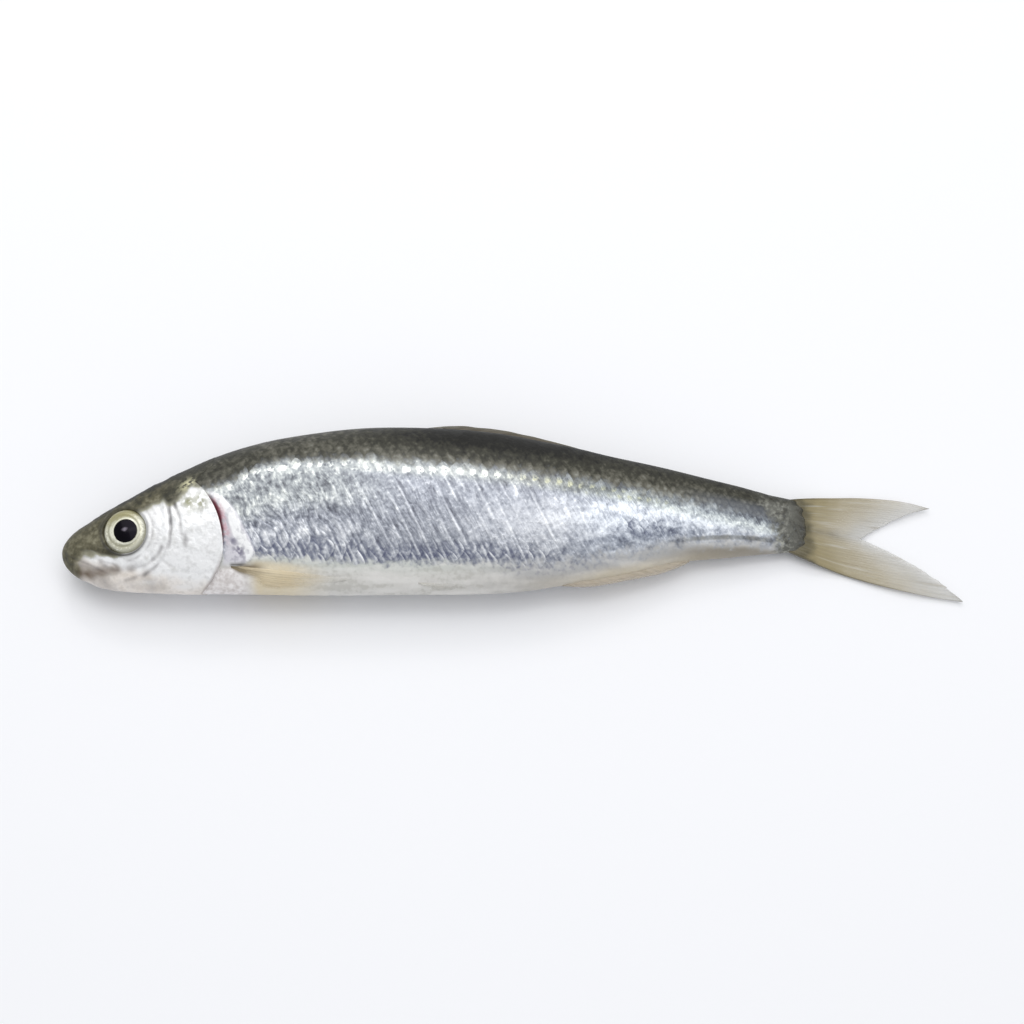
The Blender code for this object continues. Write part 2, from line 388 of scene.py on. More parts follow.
def finishMesh(name, points, faces, maps, material, nodeName, turnOut=False):
    mesh = bpy.data.meshes.new(name)
    mesh.from_pydata((points * mm + localOrigin).tolist(), [], faces)
    for mapName, values in maps.items():
        attribute = mesh.attributes.new(mapName, "FLOAT_VECTOR", "POINT")
        attribute.data.foreach_set("vector", np.asarray(values, np.float32).ravel())
    if turnOut:
        cage = bmesh.new()
        cage.from_mesh(mesh)
        bmesh.ops.recalc_face_normals(cage, faces=cage.faces)
        cage.to_mesh(mesh)
        cage.free()
    mesh.shade_smooth()
    mesh.materials.append(material)
    piece = bpy.data.objects.new(name, mesh)
    bpy.context.scene.collection.objects.link(piece)
    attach(piece, "root")
    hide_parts(nodeName)
    print("made", name, len(mesh.vertices), "points")
    return piece


def faceList(*corners):
    return np.stack(corners, axis=-1).reshape(-1, len(corners)).tolist()


def tubeMesh(name, points, maps, material, nodeName):
    # closed tube of rings, each end drawn together in one point
    rings, segments = points.shape[:2]
    corner = np.arange(rings * segments).reshape(rings, segments)
    beside = np.roll(corner, -1, axis=1)
    first, last = (np.full(segments, rings * segments + end) for end in (0, 1))
    faces = faceList(corner[:-1], beside[:-1], beside[1:], corner[1:])
    faces += faceList(beside[0], corner[0], first) + faceList(corner[-1], beside[-1], last)

    def withEnds(values):
        return np.concatenate((values.reshape(-1, 3), values[0].mean(0)[None], values[-1].mean(0)[None]))

    maps = {mapName: withEnds(values) for mapName, values in maps.items()}
    return finishMesh(name, withEnds(points), faces, maps, material, nodeName)


def sheetMesh(name, upper, lower, maps, material, nodeName, slotName):
    # closed thin plate between two grids of the same size
    rows, columns = upper.shape[:2]
    corner = np.arange(rows * columns).reshape(rows, columns)
    shift = rows * columns
    under = corner + shift
    rim = np.concatenate((corner[0, :-1], corner[:-1, -1], corner[-1, :0:-1], corner[:0:-1, 0]))
    rimBeside = np.roll(rim, -1)
    faces = faceList(corner[:-1, :-1], corner[:-1, 1:], corner[1:, 1:], corner[1:, :-1])
    faces += faceList(under[:-1, :-1], under[1:, :-1], under[1:, 1:], under[:-1, 1:])
    faces += faceList(rimBeside, rim, rim + shift, rimBeside + shift)
    points = np.concatenate((upper.reshape(-1, 3), lower.reshape(-1, 3)))
    maps = {mapName: np.tile(values.reshape(-1, 3), (2, 1)) for mapName, values in maps.items()}
    return finishMesh(name, points, faces, maps, material, nodeName, turnOut=True)


# Where the head ends: the gill cover's rear edge on the flanks, and the nape above it.
# The slit opens, is widest and closes at the turns of openTurns, in degrees.
gill = {
    "front": 13.0, "rear": 21.1, "rearHeight": -0.6, "radiusUpper": 12.0, "radiusLower": 4.8, "lift": 0.36,
    "topTurn": math.radians(48.0), "lowTurn": math.radians(170.0), "openTurns": (63, 76, 104, 122),
    "nape": 19.6, "napeTurn": math.radians(36.0), "napeBlend": 0.12, "napeLift": 0.03,
}
# Rear edge of the silver shoulder plate behind the gill opening: height and place
shoulderKnots = np.array((
    (-3.4, 22.6), (-2.6, 24.2), (-1.6, 25.0), (-0.3, 24.7),
    (1.5, 23.8), (3.4, 22.9), (5.0, 21.6), (6.4, 19.6),
))
# Bright band along the plate: place and height
shoulderLine = ((20.0, 6.2), (20.8, 5.0), (22.2, 2.9), (23.1, 0.8), (24.2, -1.2), (24.6, -2.3))


def headEdge(turn):
    turn = halfTurn(turn)
    away = skin(np.full_like(turn, gill["rear"]), turn)[..., 1] - gill["rearHeight"]
    radius = np.where(away > 0, gill["radiusUpper"], gill["radiusLower"])
    edge = gill["rear"] - away ** 2 / (2 * radius)
    onFlank = smoothStep(gill["napeTurn"], gill["topTurn"] + gill["napeBlend"], turn)
    return edge + (gill["nape"] - edge) * (1 - onFlank)


def gillOpen(turn):
    # 1 where the gill cover stands off the shoulder and the slit shows
    return between(np.degrees(halfTurn(turn)), *gill["openTurns"])


# Trunk with its scales. A window holds the places where something starts, is full, fades and ends;
# a mark holds a place and half length, a height and half width.
trunk = {
    "front": 15.6, "straightRings": 438, "stumpRings": 13, "segments": 214,
    "scaleLength": 1.66, "scaleRows": 16, "tailShrink": 0.7, "edgeBulge": 0.72, "edgeCurve": 1.7,
    "warp": 0.11, "frontWarp": 0.12, "warpWave": 5.5, "scaleRise": 0.04, "scaleTilt": 0.015,
    "ribPitch": 1.62, "ribLean": 0.47, "fleshWaves": 0.10, "fleshWindow": (22, 30, 84, 92),
    "keelRise": 0.10, "keelPitch": 1.5, "keelWidth": 0.09, "keelWindow": (24, 32, 60, 66),
    "backRise": 0.4, "backWindow": (60, 68, 86, 93), "slitDepth": 0.3, "shoulderRise": 0.12,
    "plateHeights": (-3.4, -2.4, 5.6, 6.8), "pitDepth": 0.08, "pit": (22.8, 0.8, -1.0, 0.7),
    "tailBase": 91.4, "foldRise": 0.06, "raggedEnd": 0.3, "endBulge": 0.35,
}
trunkPaint = {
    "calmSilver": (62, 9, 2.0, 2.6), "rearCells": (73.5, 4.8, 1.3, 1.4), "finTan": (23.5, 25.6, 28.0, 35.0),
    "wedge": (22.3, 23.2, 24.5, 27.0), "redHeights": (0.6, 1.6, 4.6, 5.5),
    "pinkHeights": (-1.2, 1.2, 4.6, 6.0), "rootSlitShade": (21.7, 22.1, 23.2, 24.0),
    "blots": ((23.1, -1.4, 0.75, 1.0), (22.3, -0.1, 0.45, 0.8)),
}
# Lower edge of the dark back and of the scaled flank: place and height
backKnots = np.array((
    (15.0, 6.0), (20.0, 6.9), (25.8, 9.3), (31.5, 10.0), (39.5, 9.8), (46.3, 9.2), (55.4, 8.3), (64.5, 7.1),
    (73.6, 5.7), (82.7, 3.9), (90.6, 2.4), (95.0, 2.0),
))
bellyKnots = np.array((
    (20.0, -2.0), (25.5, -1.9), (32.3, -2.7), (39.2, -3.2), (46.0, -3.4), (52.9, -3.3), (59.7, -3.7),
    (64.7, -3.4), (70.0, -2.4), (75.7, -1.3), (80.3, -0.6), (86.0, -0.3), (92.8, -0.9), (95.0, -1.2),
))
# How bright the silver is, from 0 to 1: its level, and patches that are brighter or darker than that.
# Each has a strength, a place and half length, and a depth and half width. The depth runs from 0 at
# the edge of the back to 1 at the belly.
silverLevel = 0.62
silverPatches = (
    (0.12, (26.0, 13.0, 0.85, 0.30)),   # pale low flank behind the shoulder
    (-0.04, (42.0, 14.0, 0.45, 0.30)),  # duller middle
    # the next three patches are the painted highlight of a bright streak along the flank
    (0.20, (63.0, 9.0, 0.60, 0.25)),    # the bright streak starts at mid depth,
    (0.27, (75.0, 9.0, 0.35, 0.22)),    # rises towards the back
    (0.27, (86.0, 8.0, 0.60, 0.28)),    # and ends in the middle again
    (-0.14, (66.0, 10.0, 0.05, 0.15)),  # shade along the back's edge
    (-0.20, (91.0, 8.0, 0.05, 0.22)),
    (0.07, (74.0, 16.0, 1.00, 0.15)),   # paler edge of the belly
)


def scaleCover(lengthwise, sideways):
    # the scale that lies on top at each point: its own middle, how far its free edge is behind the point,
    # its row and how far the point is from the row's middle
    found = []
    for row in (np.floor(sideways), np.floor(sideways) + 1):
        away = sideways - row
        edge = trunk["edgeBulge"] * (1 - np.abs(away) ** trunk["edgeCurve"])
        offset = 0.5 * np.mod(row, 2)
        centre = np.ceil(lengthwise - offset - edge) + offset
        found.append((centre, centre + edge - lengthwise, row, away))
    onTop = found[0][0] < found[1][0]
    return [np.where(onTop, one, other) for one, other in zip(*found)]


def trunkForm():
    turns = evenTurns(body["widest"], trunk["segments"])
    stumpStart = body["fleshLength"] - body["stumpRound"]
    straight = np.linspace(trunk["front"], stumpStart, trunk["straightRings"])
    quarter = np.linspace(0, math.pi / 2, trunk["stumpRings"] + 2)[1:-1]
    places = np.concatenate((straight, stumpStart + body["stumpRound"] * np.sin(quarter)))
    place, turn = np.meshgrid(places, turns, indexing="ij")
    points = skin(place, turn)
    ringLength = np.linalg.norm(np.roll(points, -1, axis=1) - points, axis=2)
    arc = np.cumsum(ringLength, axis=1) - ringLength
    around = ringLength.sum(axis=1, keepdims=True)
    sideways = np.minimum(arc, around - arc) / (around / 2) * trunk["scaleRows"]
    shrink = (around[:, 0] / around.max()) ** trunk["tailShrink"]
    steps = np.diff(places, prepend=places[0]) / (trunk["scaleLength"] * np.maximum(shrink, 0.3))
    lengthwise = np.broadcast_to(np.cumsum(steps)[:, None], place.shape)
    # no two scales are quite alike, least of all near the head
    warp = trunk["warp"] + trunk["frontWarp"] * smoothStep(40, 28, place)
    lengthwise = lengthwise + warp * ripples(place, points[..., 1], trunk["warpWave"], 41)
    sideways = sideways + warp * ripples(place, points[..., 1], trunk["warpWave"] * 0.9, 42)
    return place, turn, points, lengthwise, sideways


def flankTone(place, belowBack, belowFlank):
    # how bright the silver is painted, from 0 to 1, with the painted highlight of its bright streak
    depth = np.clip(-belowBack / np.maximum(-belowBack - belowFlank, 0.5), 0, 1)
    return silverLevel + ovals(place, depth, silverPatches)


def scaleRelief(centre, gap, row, away, side):
    # a scale is level at its free edge and sinks towards its root, most on its lower half, so that
    # the rims that run down and back stand out most
    draw = np.random.default_rng(5)
    table = draw.uniform(-1, 1, (2, 2 * int(centre.max()) + 12, trunk["scaleRows"] + 5, 3))
    pick = table[(side > 0).astype(int), (2 * centre + 6).astype(int), (row + 1).astype(int)]
    sink = 0.45 + 0.55 * smoothStep(-0.3, 0.5, away)
    relief = -trunk["scaleRise"] * gap * sink * (0.85 + 0.45 * pick[..., 0])
    relief += trunk["scaleTilt"] * (pick[..., 1] * (0.5 - gap) + 0.7 * pick[..., 2] * away)
    return np.minimum(relief, 0.01)


def makeTrunk(material):
    place, turn, points, lengthwise, sideways = trunkForm()
    height = points[..., 1].copy()
    normals = ringNormals(onTable(points))
    side = np.where(turn > math.pi, -1.0, 1.0)
    under = halfTurn(turn)
    belowBack = height - smoothThrough(place, *backKnots.T)
    belowFlank = smoothThrough(place, *bellyKnots.T) - height
    behindEdge = place - headEdge(turn)
    behindShoulder = place - smoothThrough(height, *shoulderKnots.T)

    # scales cover the flank and, less raised, the back; the skin is their highest level
    cover = scaleCover(lengthwise, sideways)
    away = cover[3]
    scaled = smoothStep(0.15, -0.25, belowFlank + away * 0.5) * smoothStep(0.0, 0.5, behindShoulder)
    scaled = scaled * smoothStep(92.0, 90.0, place + 0.8 * away)
    scaled = scaled * (1 - 0.6 * smoothStep(-0.3, 1.2, belowBack)) * (1 - 0.35 * smoothStep(60, 88, place))
    relief = scaleRelief(*cover, side) * scaled
    lift = relief.copy()

    # soft flesh, level under the side fins; the keel of small scutes along the belly, the full rear
    # of the back and faint folds across the belly
    level = 1 - 0.9 * smoothStep(-0.5, 0.8, belowFlank) * smoothStep(46, 38, place)
    flesh = ripples(place, height, 15.0, 3) * between(place, *trunk["fleshWindow"])
    lift += trunk["fleshWaves"] * flesh * level
    keel = bell(np.pi - under, trunk["keelWidth"]) * between(place, *trunk["keelWindow"])
    lift += keel * trunk["keelRise"] * (0.55 + 0.45 * np.abs(np.sin(place * math.pi / trunk["keelPitch"])))
    lift += trunk["backRise"] * between(place, *trunk["backWindow"]) * smoothStep(1.1, 0.2, under)
    lift += 0.02 * smoothStep(0.0, 0.8, belowFlank) * ripples(place * 1.6, height * 0.5, 2.6, 8)

    # the slit behind the gill cover and the raised shoulder plate
    slitEnd = -0.9 + 0.7 * gillOpen(turn)
    lift -= trunk["slitDepth"] * smoothStep(slitEnd + 0.6, slitEnd, behindEdge)
    plate = smoothStep(0.0, 0.6, behindEdge) * smoothStep(0.12, -0.22, behindShoulder)
    plate = plate * between(height, *trunk["plateHeights"])
    lift += trunk["shoulderRise"] * plate * smoothStep(-2.6, -0.4, behindShoulder)
    lift -= trunk["pitDepth"] * oval(place, height, trunk["pit"])

    # rough folded skin at the ragged end of the flesh
    pastBase = place - trunk["tailBase"] + 0.45 * np.maximum(height - 0.6, 0)
    tailBase = smoothStep(-1.3, 1.1, pastBase + 0.3 * ripples(place, height, 1.9, 4))
    folded = ripples(place, height * 1.3, 1.5, 27) * tailBase
    lift += trunk["foldRise"] * folded * smoothStep(95.0, 94.0, place)
    points = onTable(points + normals * lift[..., None])
    pressed = np.clip(-relief, 0, 1) * smoothStep(0.6, 0.0, points[..., 2])
    points[..., 2] += np.where(turn > math.pi, pressed, 0)
    ragged = trunk["raggedEnd"] * ripples(height, height, 1.9, 71)
    ragged += trunk["endBulge"] * bell(height - 1.6, 2.0)
    points[..., 0] += smoothStep(92.6, 95.0, place) * ragged

    # tones of the silver, contrast of its flecks, its thin ribs, its drawn scales and its row of glints
    paint = trunkPaint
    glow = flankTone(place, belowBack, belowFlank) + 0.02 * ripples(place, height * 1.4, 7.0, 11)
    rearSilver = smoothStep(66, 76, place)
    contrast = 1.0 - 0.55 * oval(place, height, paint["calmSilver"]) + 0.12 * rearSilver
    speckled = 0.5 + 0.6 * smoothStep(44, 30, place) * smoothStep(0.0, -4.0, belowFlank) + 0.4 * rearSilver
    ribbed = (0.3 + 0.7 * bell(place - 49, 14)) * (1 - 0.4 * smoothStep(66, 74, place))
    ribbed = ribbed * smoothStep(-0.5, -2.5, belowBack)
    cells = smoothStep(-3.3 - 3.0 * smoothStep(42, 30, place), -0.9, belowFlank) * smoothStep(68, 58, place)
    cells = np.maximum(cells, oval(place, height, paint["rearCells"]))
    glints = bell(belowBack + 1.0, 0.6) * smoothStep(20, 25, place)

    # tan where the side fin and the anal fin start, the brown wedge under the side fin, the breast
    tan = between(place, *paint["finTan"]) * smoothStep(0.3, 1.3, belowFlank)
    tan += 0.75 * bell(place - 72, 11) * smoothStep(0.9, 2.2, belowFlank)
    wedge = between(place, *paint["wedge"]) * bell(height + 3.4, 0.5)
    breast = smoothStep(25.5, 22.5, place) * smoothStep(0.8, 1.8, belowFlank)

    # bright band and blots of the shoulder plate, the red and pink of the slit
    uneven = ripples(place, height, 1.5, 33)
    shoulderBand = smoothStep(0.95, 0.3, lineDistance(place, height, shoulderLine) + 0.2 * uneven) * plate
    slitWidth = 0.16 + 0.42 * bell(height - 3.9, 1.5)
    slitRed = between(height, *paint["redHeights"]) * smoothStep(1.3, 0.6, behindEdge / slitWidth)
    slitPink = between(height, *paint["pinkHeights"]) * smoothStep(1.3, 0.5, behindEdge + 0.15 * uneven)
    blots = sum(
        strength * bell(np.hypot(place - atPlace, height - atHeight), size)
        for atPlace, atHeight, size, strength in paint["blots"]
    )
    # painted shade: a dark line in the slit above the side fin's root
    rootSlitShade = bell(height + 2.95, 0.2) * between(place, *paint["rootSlitShade"])

    # warm light in front and along the back's edge, cool light behind
    warm = smoothStep(46, 32, place) * smoothStep(-8.0, -4.5, belowBack)
    warm = np.maximum(warm, smoothStep(-2.6, -1.2, belowBack))
    rib = (place + trunk["ribLean"] * height) / trunk["ribPitch"]
    rib = rib + 0.12 * ripples(place, height * 0.4, 9.0, 52)
    maps = {
        "scaleLattice": packed(lengthwise, sideways, side),
        "bodyPlace": packed(place, height, glow),
        "zoneEdges": packed(belowBack, belowFlank, tailBase),
        "marks": packed(contrast, glints, tan),
        "patterns": packed(speckled, ribbed, cells),
        "shoulder": packed(plate, shoulderBand, rootSlitShade),
        "slit": packed(slitRed, slitPink, blots),
        "breast": packed(breast, wedge),
        "tones": packed(warm, smoothStep(60, 72, place), rib),
    }
    return tubeMesh("trunk", points, maps, material, "sardine")


def scaleWires(tree):
    # the same cover of scales as in the mesh, worked out for every shaded point
    lengthwise, sideways, side = readMap(tree, "scaleLattice")
    found = []
    for step in (0, 1):
        row = sideways.math("FLOOR") + step
        away = sideways - row
        edge = trunk["edgeBulge"] * (1 - away.math("ABSOLUTE") ** trunk["edgeCurve"])
        offset = 0.5 * row.math("MODULO", 2.0)
        centre = (lengthwise - offset - edge).math("CEIL") + offset
        found.append((centre, centre + edge - lengthwise, row, away))
    onTop = found[0][0].math("LESS_THAN", found[1][0])
    centre, gap, row, away = (other + (one - other) * onTop for one, other in zip(*found))
    since = (1 - found[0][1]).math("MINIMUM", 1 - found[1][1])
    name = joinVector(centre, row, side)
    settings = {"noise_dimensions": "3D"}
    chance = Wire.add(tree, "ShaderNodeTexWhiteNoise", settings, {"Vector": name}, output="Color")
    slant = lengthwise - 0.5 * sideways
    flecks = noiseValue(joinVector(slant * 2.7, sideways * 0.85, side), 1.0, 2.0, 0.6)
    # the ribs' brightness is painted highlight along the scale rims, and the shade behind each is painted
    # shade
    # thin bright ribs run down and back across the rows, each with its own strength and a shade behind it
    rib = readMap(tree, "tones")[2]
    ribNumber = rib.math("FLOOR")
    ribShare = rib - ribNumber
    ribPower = noiseValue(joinVector(ribNumber * 3.7, sideways * 0.32, side)).rise(0.34, 0.68)
    return {
        "gap": gap, "since": since, "away": away, "chance": chance.split(), "flecks": flecks,
        "rib": ribShare.near(0.5, 0.16, 0.03) * ribPower,
        "ribShade": ribShare.near(0.76, 0.2, 0.05) * ribPower,
    }


scaledSkin = {
    "silverStops": (
        (0.22, tint(58, 60, 70)), (0.42, tint(108, 111, 122)), (0.60, tint(154, 158, 168)),
        (0.76, tint(196, 199, 206)), (0.90, tint(232, 234, 238)), (1.0, tint(253, 254, 255)),
    ),
    "backStops": (
        (0.0, tint(20, 19, 14)), (0.22, tint(58, 57, 47)), (0.38, tint(98, 96, 85)),
        (0.56, tint(142, 142, 134)), (0.8, tint(204, 205, 202)),
    ),
    "bellyCream": tint(217, 215, 210), "bellyGreen": tint(203, 206, 200), "bellyGrey": tint(178, 177, 177),
    "bellyLowShade": tint(142, 134, 120), "bellyLight": tint(234, 232, 228), "bellyFold": tint(168, 166, 156),
    "tan": tint(226, 210, 174), "breast": tint(212, 205, 202), "breastHighlight": tint(250, 246, 245),
    "wedge": tint(124, 110, 86), "paleGlint": tint(198, 197, 176), "warm": tint(254, 255, 245),
    "cool": tint(246, 250, 255), "blueBack": tint(94, 100, 112), "lowBlue": tint(92, 98, 130),
    "tailBase": tint(100, 100, 93), "tailBaseLight": tint(182, 182, 172), "rootBrown": tint(46, 42, 32),
    "plate": tint(252, 252, 252), "plateGrey": tint(214, 212, 218), "plateShade": tint(150, 148, 160),
    "slitRed": tint(136, 78, 88), "slitPink": tint(206, 172, 180), "blots": tint(112, 108, 130),
    "noises": {
        "mottle": (0.9, 3.0, 0.6), "grain": (2.6, 2.5, 0.6), "specks": (1.7, 1.0, 0.5),
        "patches": (0.42, 2.0, 0.5),
    },
    "stretched": {"blotches": (0.5, 0.95, 0.95), "dashes": (1.5, 0.55, 0.55), "folds": (0.13, 0.9, 0.9)},
    "rowPitch": 4.1, "constants": {"Coat Roughness": 0.12, "Coat IOR": 1.36, "IOR": 1.42},
}


def makeScaledSkin():
    look = scaledSkin
    material, tree, shader = newMaterial("scaled silver skin", look["constants"])
    scale = scaleWires(tree)
    gap, away, chance = scale["gap"], scale["away"], scale["chance"]
    place, height, glow = readMap(tree, "bodyPlace")
    belowBack, belowFlank, tailBase = readMap(tree, "zoneEdges")
    contrast, glints, tan = readMap(tree, "marks")
    plate, shoulderBand, rootSlitShade = readMap(tree, "shoulder")
    slitRed, slitPink, blots = readMap(tree, "slit")
    speckled, ribbed, cells = readMap(tree, "patterns")
    warm, rearward = readMap(tree, "tones")[:2]
    breast, wedge = readMap(tree, "breast")[:2]
    spot = placeInMm(tree)
    mottle, grain, specks, patches = noisesOver(spot, look["noises"])
    blotches, dashes, folds = stretchedNoises(spot, look["stretched"])
    # the same noises about 0
    mottled, grained, specked, blotched = mottle - 0.5, grain - 0.5, specks - 0.5, blotches - 0.5
    flecked = scale["flecks"] - 0.5

    # zones change from scale to scale, so their borders follow the scales' outlines
    border = away * 0.3 + (chance[0] - 0.5) * 0.5 + mottled * 1.6 + specked * 1.2
    onBack = (belowBack + border).rise(-0.75, 0.85)
    uneven = mottled * 1.8 + specked * 1.2
    sharpEdge = (belowFlank - away * 0.2 + uneven).rise(-0.5, 0.6)
    softEdge = (belowFlank - away * 0.2 + uneven * 1.5).rise(-1.3, 1.1)
    softRear = place.rise(50.0, 62.0)
    onBelly = sharpEdge + (softEdge - sharpEdge) * softRear
    lowLine = belowFlank.near(-0.35, 0.4, 0.1) * place.rise(76.0, 82.0) * place.rise(92.0, 90.0)
    # painted highlight on the upper half of each scale's free edge, and painted shade just behind the edge of
    # the scale above
    rim = gap.rise(0.24, 0.07) * away.rise(0.6, -0.4)
    shade = scale["since"].rise(0.4, 0.0)
    inward = gap - 0.28
    dot = (inward * inward * 10.0 + away * away * 5.0).rise(1.0, 0.2)

    # silver, with bright flecks of painted highlight as its sparkle
    # painted highlight: small bright flecks of sparkle
    sparkleHighlight = grain.rise(0.60, 0.70) * (1 - 0.5 * cells)
    fleck = 0.08 * (chance[1] - 0.5) + 0.5 * flecked + 0.4 * grained + 0.08 * sparkleHighlight
    rowWave = ((belowBack + 0.9) * (math.tau / look["rowPitch"])).math("COSINE")
    front = place.rise(46.0, 36.0)
    dashed = specked * 0.34 + front * ((dashes - 0.5) * 0.5 + rowWave * 0.08) + blotched * 0.15
    noise = contrast * fleck + speckled * dashed + blotched * (0.12 + 0.55 * rearward)
    # painted highlight of the ribs, less their painted shade
    ribs = (scale["rib"] - scale["ribShade"] * 0.6) * (ribbed + cells * 0.4)
    # scale outlines drawn as painted rim highlight and painted shade
    rimHighlightsAndShade = cells * (rim * (0.04 + 0.22 * chance[1]) - shade * 0.12) * (0.4 + 1.2 * mottle)
    merged = 0.14 * place.rise(42.0, 54.0) + 0.14 * place.rise(36.0, 41.0) * place.rise(53.0, 47.0)
    glint = glints * (dot * grain.rise(0.32, 0.56) * (0.3 + 0.4 * chance[2]) - 0.05 + merged)
    tone = glow + rearward * 0.015 + noise + ribs * 0.17 + rimHighlightsAndShade
    tone = tone + glint * place.rise(70.0, 52.0) - lowLine * 0.1
    lowCells = cells * (belowFlank + rearward * 1.5).rise(-4.0, -2.0)
    silver = layered(
        rampColor(tone, look["silverStops"]),
        (lowCells * tone.rise(0.78, 0.42) * 0.55, look["lowBlue"]),
        (glint * place.rise(52.0, 64.0) * place.rise(80.0, 74.0) * 2.0, look["paleGlint"]),
        (warm, look["warm"], "MULTIPLY"),
        (rearward, look["cool"], "MULTIPLY"),
    )

    # back
    midBack = place.rise(30.0, 54.0)
    topEdge = belowBack.rise(1.2, 4.4) * (0.15 + 0.75 * midBack - 0.2 * place.rise(64.0, 74.0))
    backTone = 0.31 + 0.28 * mottled + 0.22 * flecked + 0.34 * specked + 0.18 * (patches - 0.5)
    backTone = backTone - 0.3 * topEdge + dot * 0.07 * belowBack.rise(3.0, 0.6) - shade * 0.05
    backTone = backTone + belowBack.rise(1.8, 0.0) * (midBack * 0.2 - 0.06)
    backTone = backTone - place.rise(38.0, 52.0) * place.rise(76.0, 60.0) * 0.09
    backTone = backTone - place.rise(31.0, 20.0) * belowBack.rise(2.8, 4.6) * 0.14
    backTone = backTone - place.rise(28.0, 22.0) * belowBack.near(2.0, 2.0, 0.4) * 0.07
    bluish = place.rise(77.0, 86.0) * belowBack.rise(2.4, 0.8) * 0.6
    dark = mixColor(bluish, rampColor(backTone, look["backStops"]), look["blueBack"])

    # belly, with painted shade towards its lower edge near the tail
    lowSpecks = place.rise(54.0, 58.0) * place.rise(73.0, 67.0) * belowFlank.rise(2.4, 0.4)
    # pink breast skin whose paler spots are painted wet highlights
    breastSkin = mixColor((mottle * 0.5 + specks * 0.5).rise(0.36, 0.68), look["breast"], look["breastHighlight"])
    belly = layered(
        look["bellyGreen"],
        (belowFlank.rise(0.2, 1.8), look["bellyCream"]),
        (place.rise(47.0, 62.0) * 0.85, look["bellyGrey"]),
        ((folds * 0.7 + mottle * 0.3).rise(0.42, 0.66) * (0.7 - 0.3 * softRear), look["bellyLight"]),
        ((folds * 0.6 + specks * 0.4).rise(0.5, 0.36) * (0.35 - 0.2 * softRear), look["bellyFold"]),
        # painted shade towards the lower edge near the tail
        (place.rise(75.0, 82.0) * (belowFlank + mottled * 0.8).rise(0.3, 1.2) * 0.85, look["bellyLowShade"]),
        (lowSpecks * specks.rise(0.5, 0.34) * 0.4, look["plateShade"]),
        (tan * (0.5 + 0.5 * mottle), look["tan"]),
        (breast, breastSkin),
        (wedge * (0.8 + 0.5 * mottle), look["wedge"]),
    )

    # skin round the tail fin's root
    onRoot = (tailBase + grained * 1.1 + mottled * 1.3).rise(0.1, 0.95) * tailBase.rise(0.0, 0.08)
    onRoot = onRoot * (1 - 0.8 * belowBack.rise(1.6, 3.0))
    rootFlecks = (grain * 0.4 + specks * 0.6).rise(0.44, 0.66) * (0.4 + 0.45 * height.rise(1.0, -0.5))
    rootSkin = layered(
        look["tailBase"],
        (rootFlecks, look["tailBaseLight"]),
        ((place + specked * 4.0 + grained * 2.0).rise(92.9, 94.6) * 0.6, look["rootBrown"]),
        (mottle.rise(0.47, 0.34) * 0.6, look["rootBrown"]),
    )

    # shoulder plate
    plateSkin = layered(
        look["plateGrey"],
        ((shoulderBand * 0.7 + dashes * 0.6).rise(0.35, 0.85), look["plate"]),
        ((dashes * 0.5 + specks * 0.5).rise(0.5, 0.36) * 0.35, look["plateShade"]),
        (blots * specks.rise(0.62, 0.42), look["blots"]),
    )
    color = layered(
        silver,
        (onBack, dark),
        (onBelly, belly),
        (lowLine * (0.3 + 0.5 * specks), look["tailBase"]),
        (onRoot, rootSkin),
        (plate, plateSkin),
        (slitPink * specks.rise(0.3, 0.62), look["slitPink"]),
        (slitRed, look["slitRed"]),
        (rootSlitShade * 0.8, look["rootBrown"]),
    )

    scaledShare = (1 - onBelly.math("MAXIMUM", plate * 0.7))
    facets = (chance[2] - 0.5) * away * 0.05 + (chance[0] - 0.5) * gap * 0.06 + scale["rib"] * ribbed * 0.02
    fine = (facets + scale["flecks"] * 0.10) * scaledShare * (1 - 0.85 * onBack)
    feed(shader, {
        "Base Color": color,
        "Metallic": 0.38 * (1 - 0.7 * onBack) * scaledShare * (1 - 0.7 * onRoot),
        "Roughness": 0.30 + chance[0] * 0.10 + (0.10 + 0.25 * topEdge) * onBack + 0.14 * onBelly,
        "Coat Weight": (0.3 + 0.3 * mottle) * (1 - 0.9 * onBack),
        "Normal": bumpNormal(fine + specks * 0.05 + grain * 0.03 + mottle * 0.03),
    })
    return material


# Eyes, set square to the skin of the head
eye = {
    "place": 8.5, "height": 1.75, "radius": 2.8, "depth": 1.5, "sink": 1.0, "tuck": 0.12,
    "rings": 64, "backRings": 12, "segments": 128, "pupilShift": (0.09, -0.07), "pupilSize": 0.52,
    "backShrink": 0.96, "backDepth": 0.75,
}


def unit(vector):
    return vector / np.linalg.norm(vector)


def eyeSeat(side):
    # middle of the eyeball, and its directions towards the tail, up the head and outward
    place = np.array([eye["place"]])
    turn = turnAt(place, eye["height"]) * side
    centre = skin(place, turn)[0]
    forward = skin(place + 0.5, turn)[0] - skin(place - 0.5, turn)[0]
    upward = skin(place, turn - side * 0.05)[0] - skin(place, turn + side * 0.05)[0]
    normal = unit(np.cross(forward, upward) * side)
    normal[2] = abs(normal[2]) * side
    forward = unit(forward)
    return centre - normal * eye["sink"], forward, np.cross(normal, forward) * side, normal


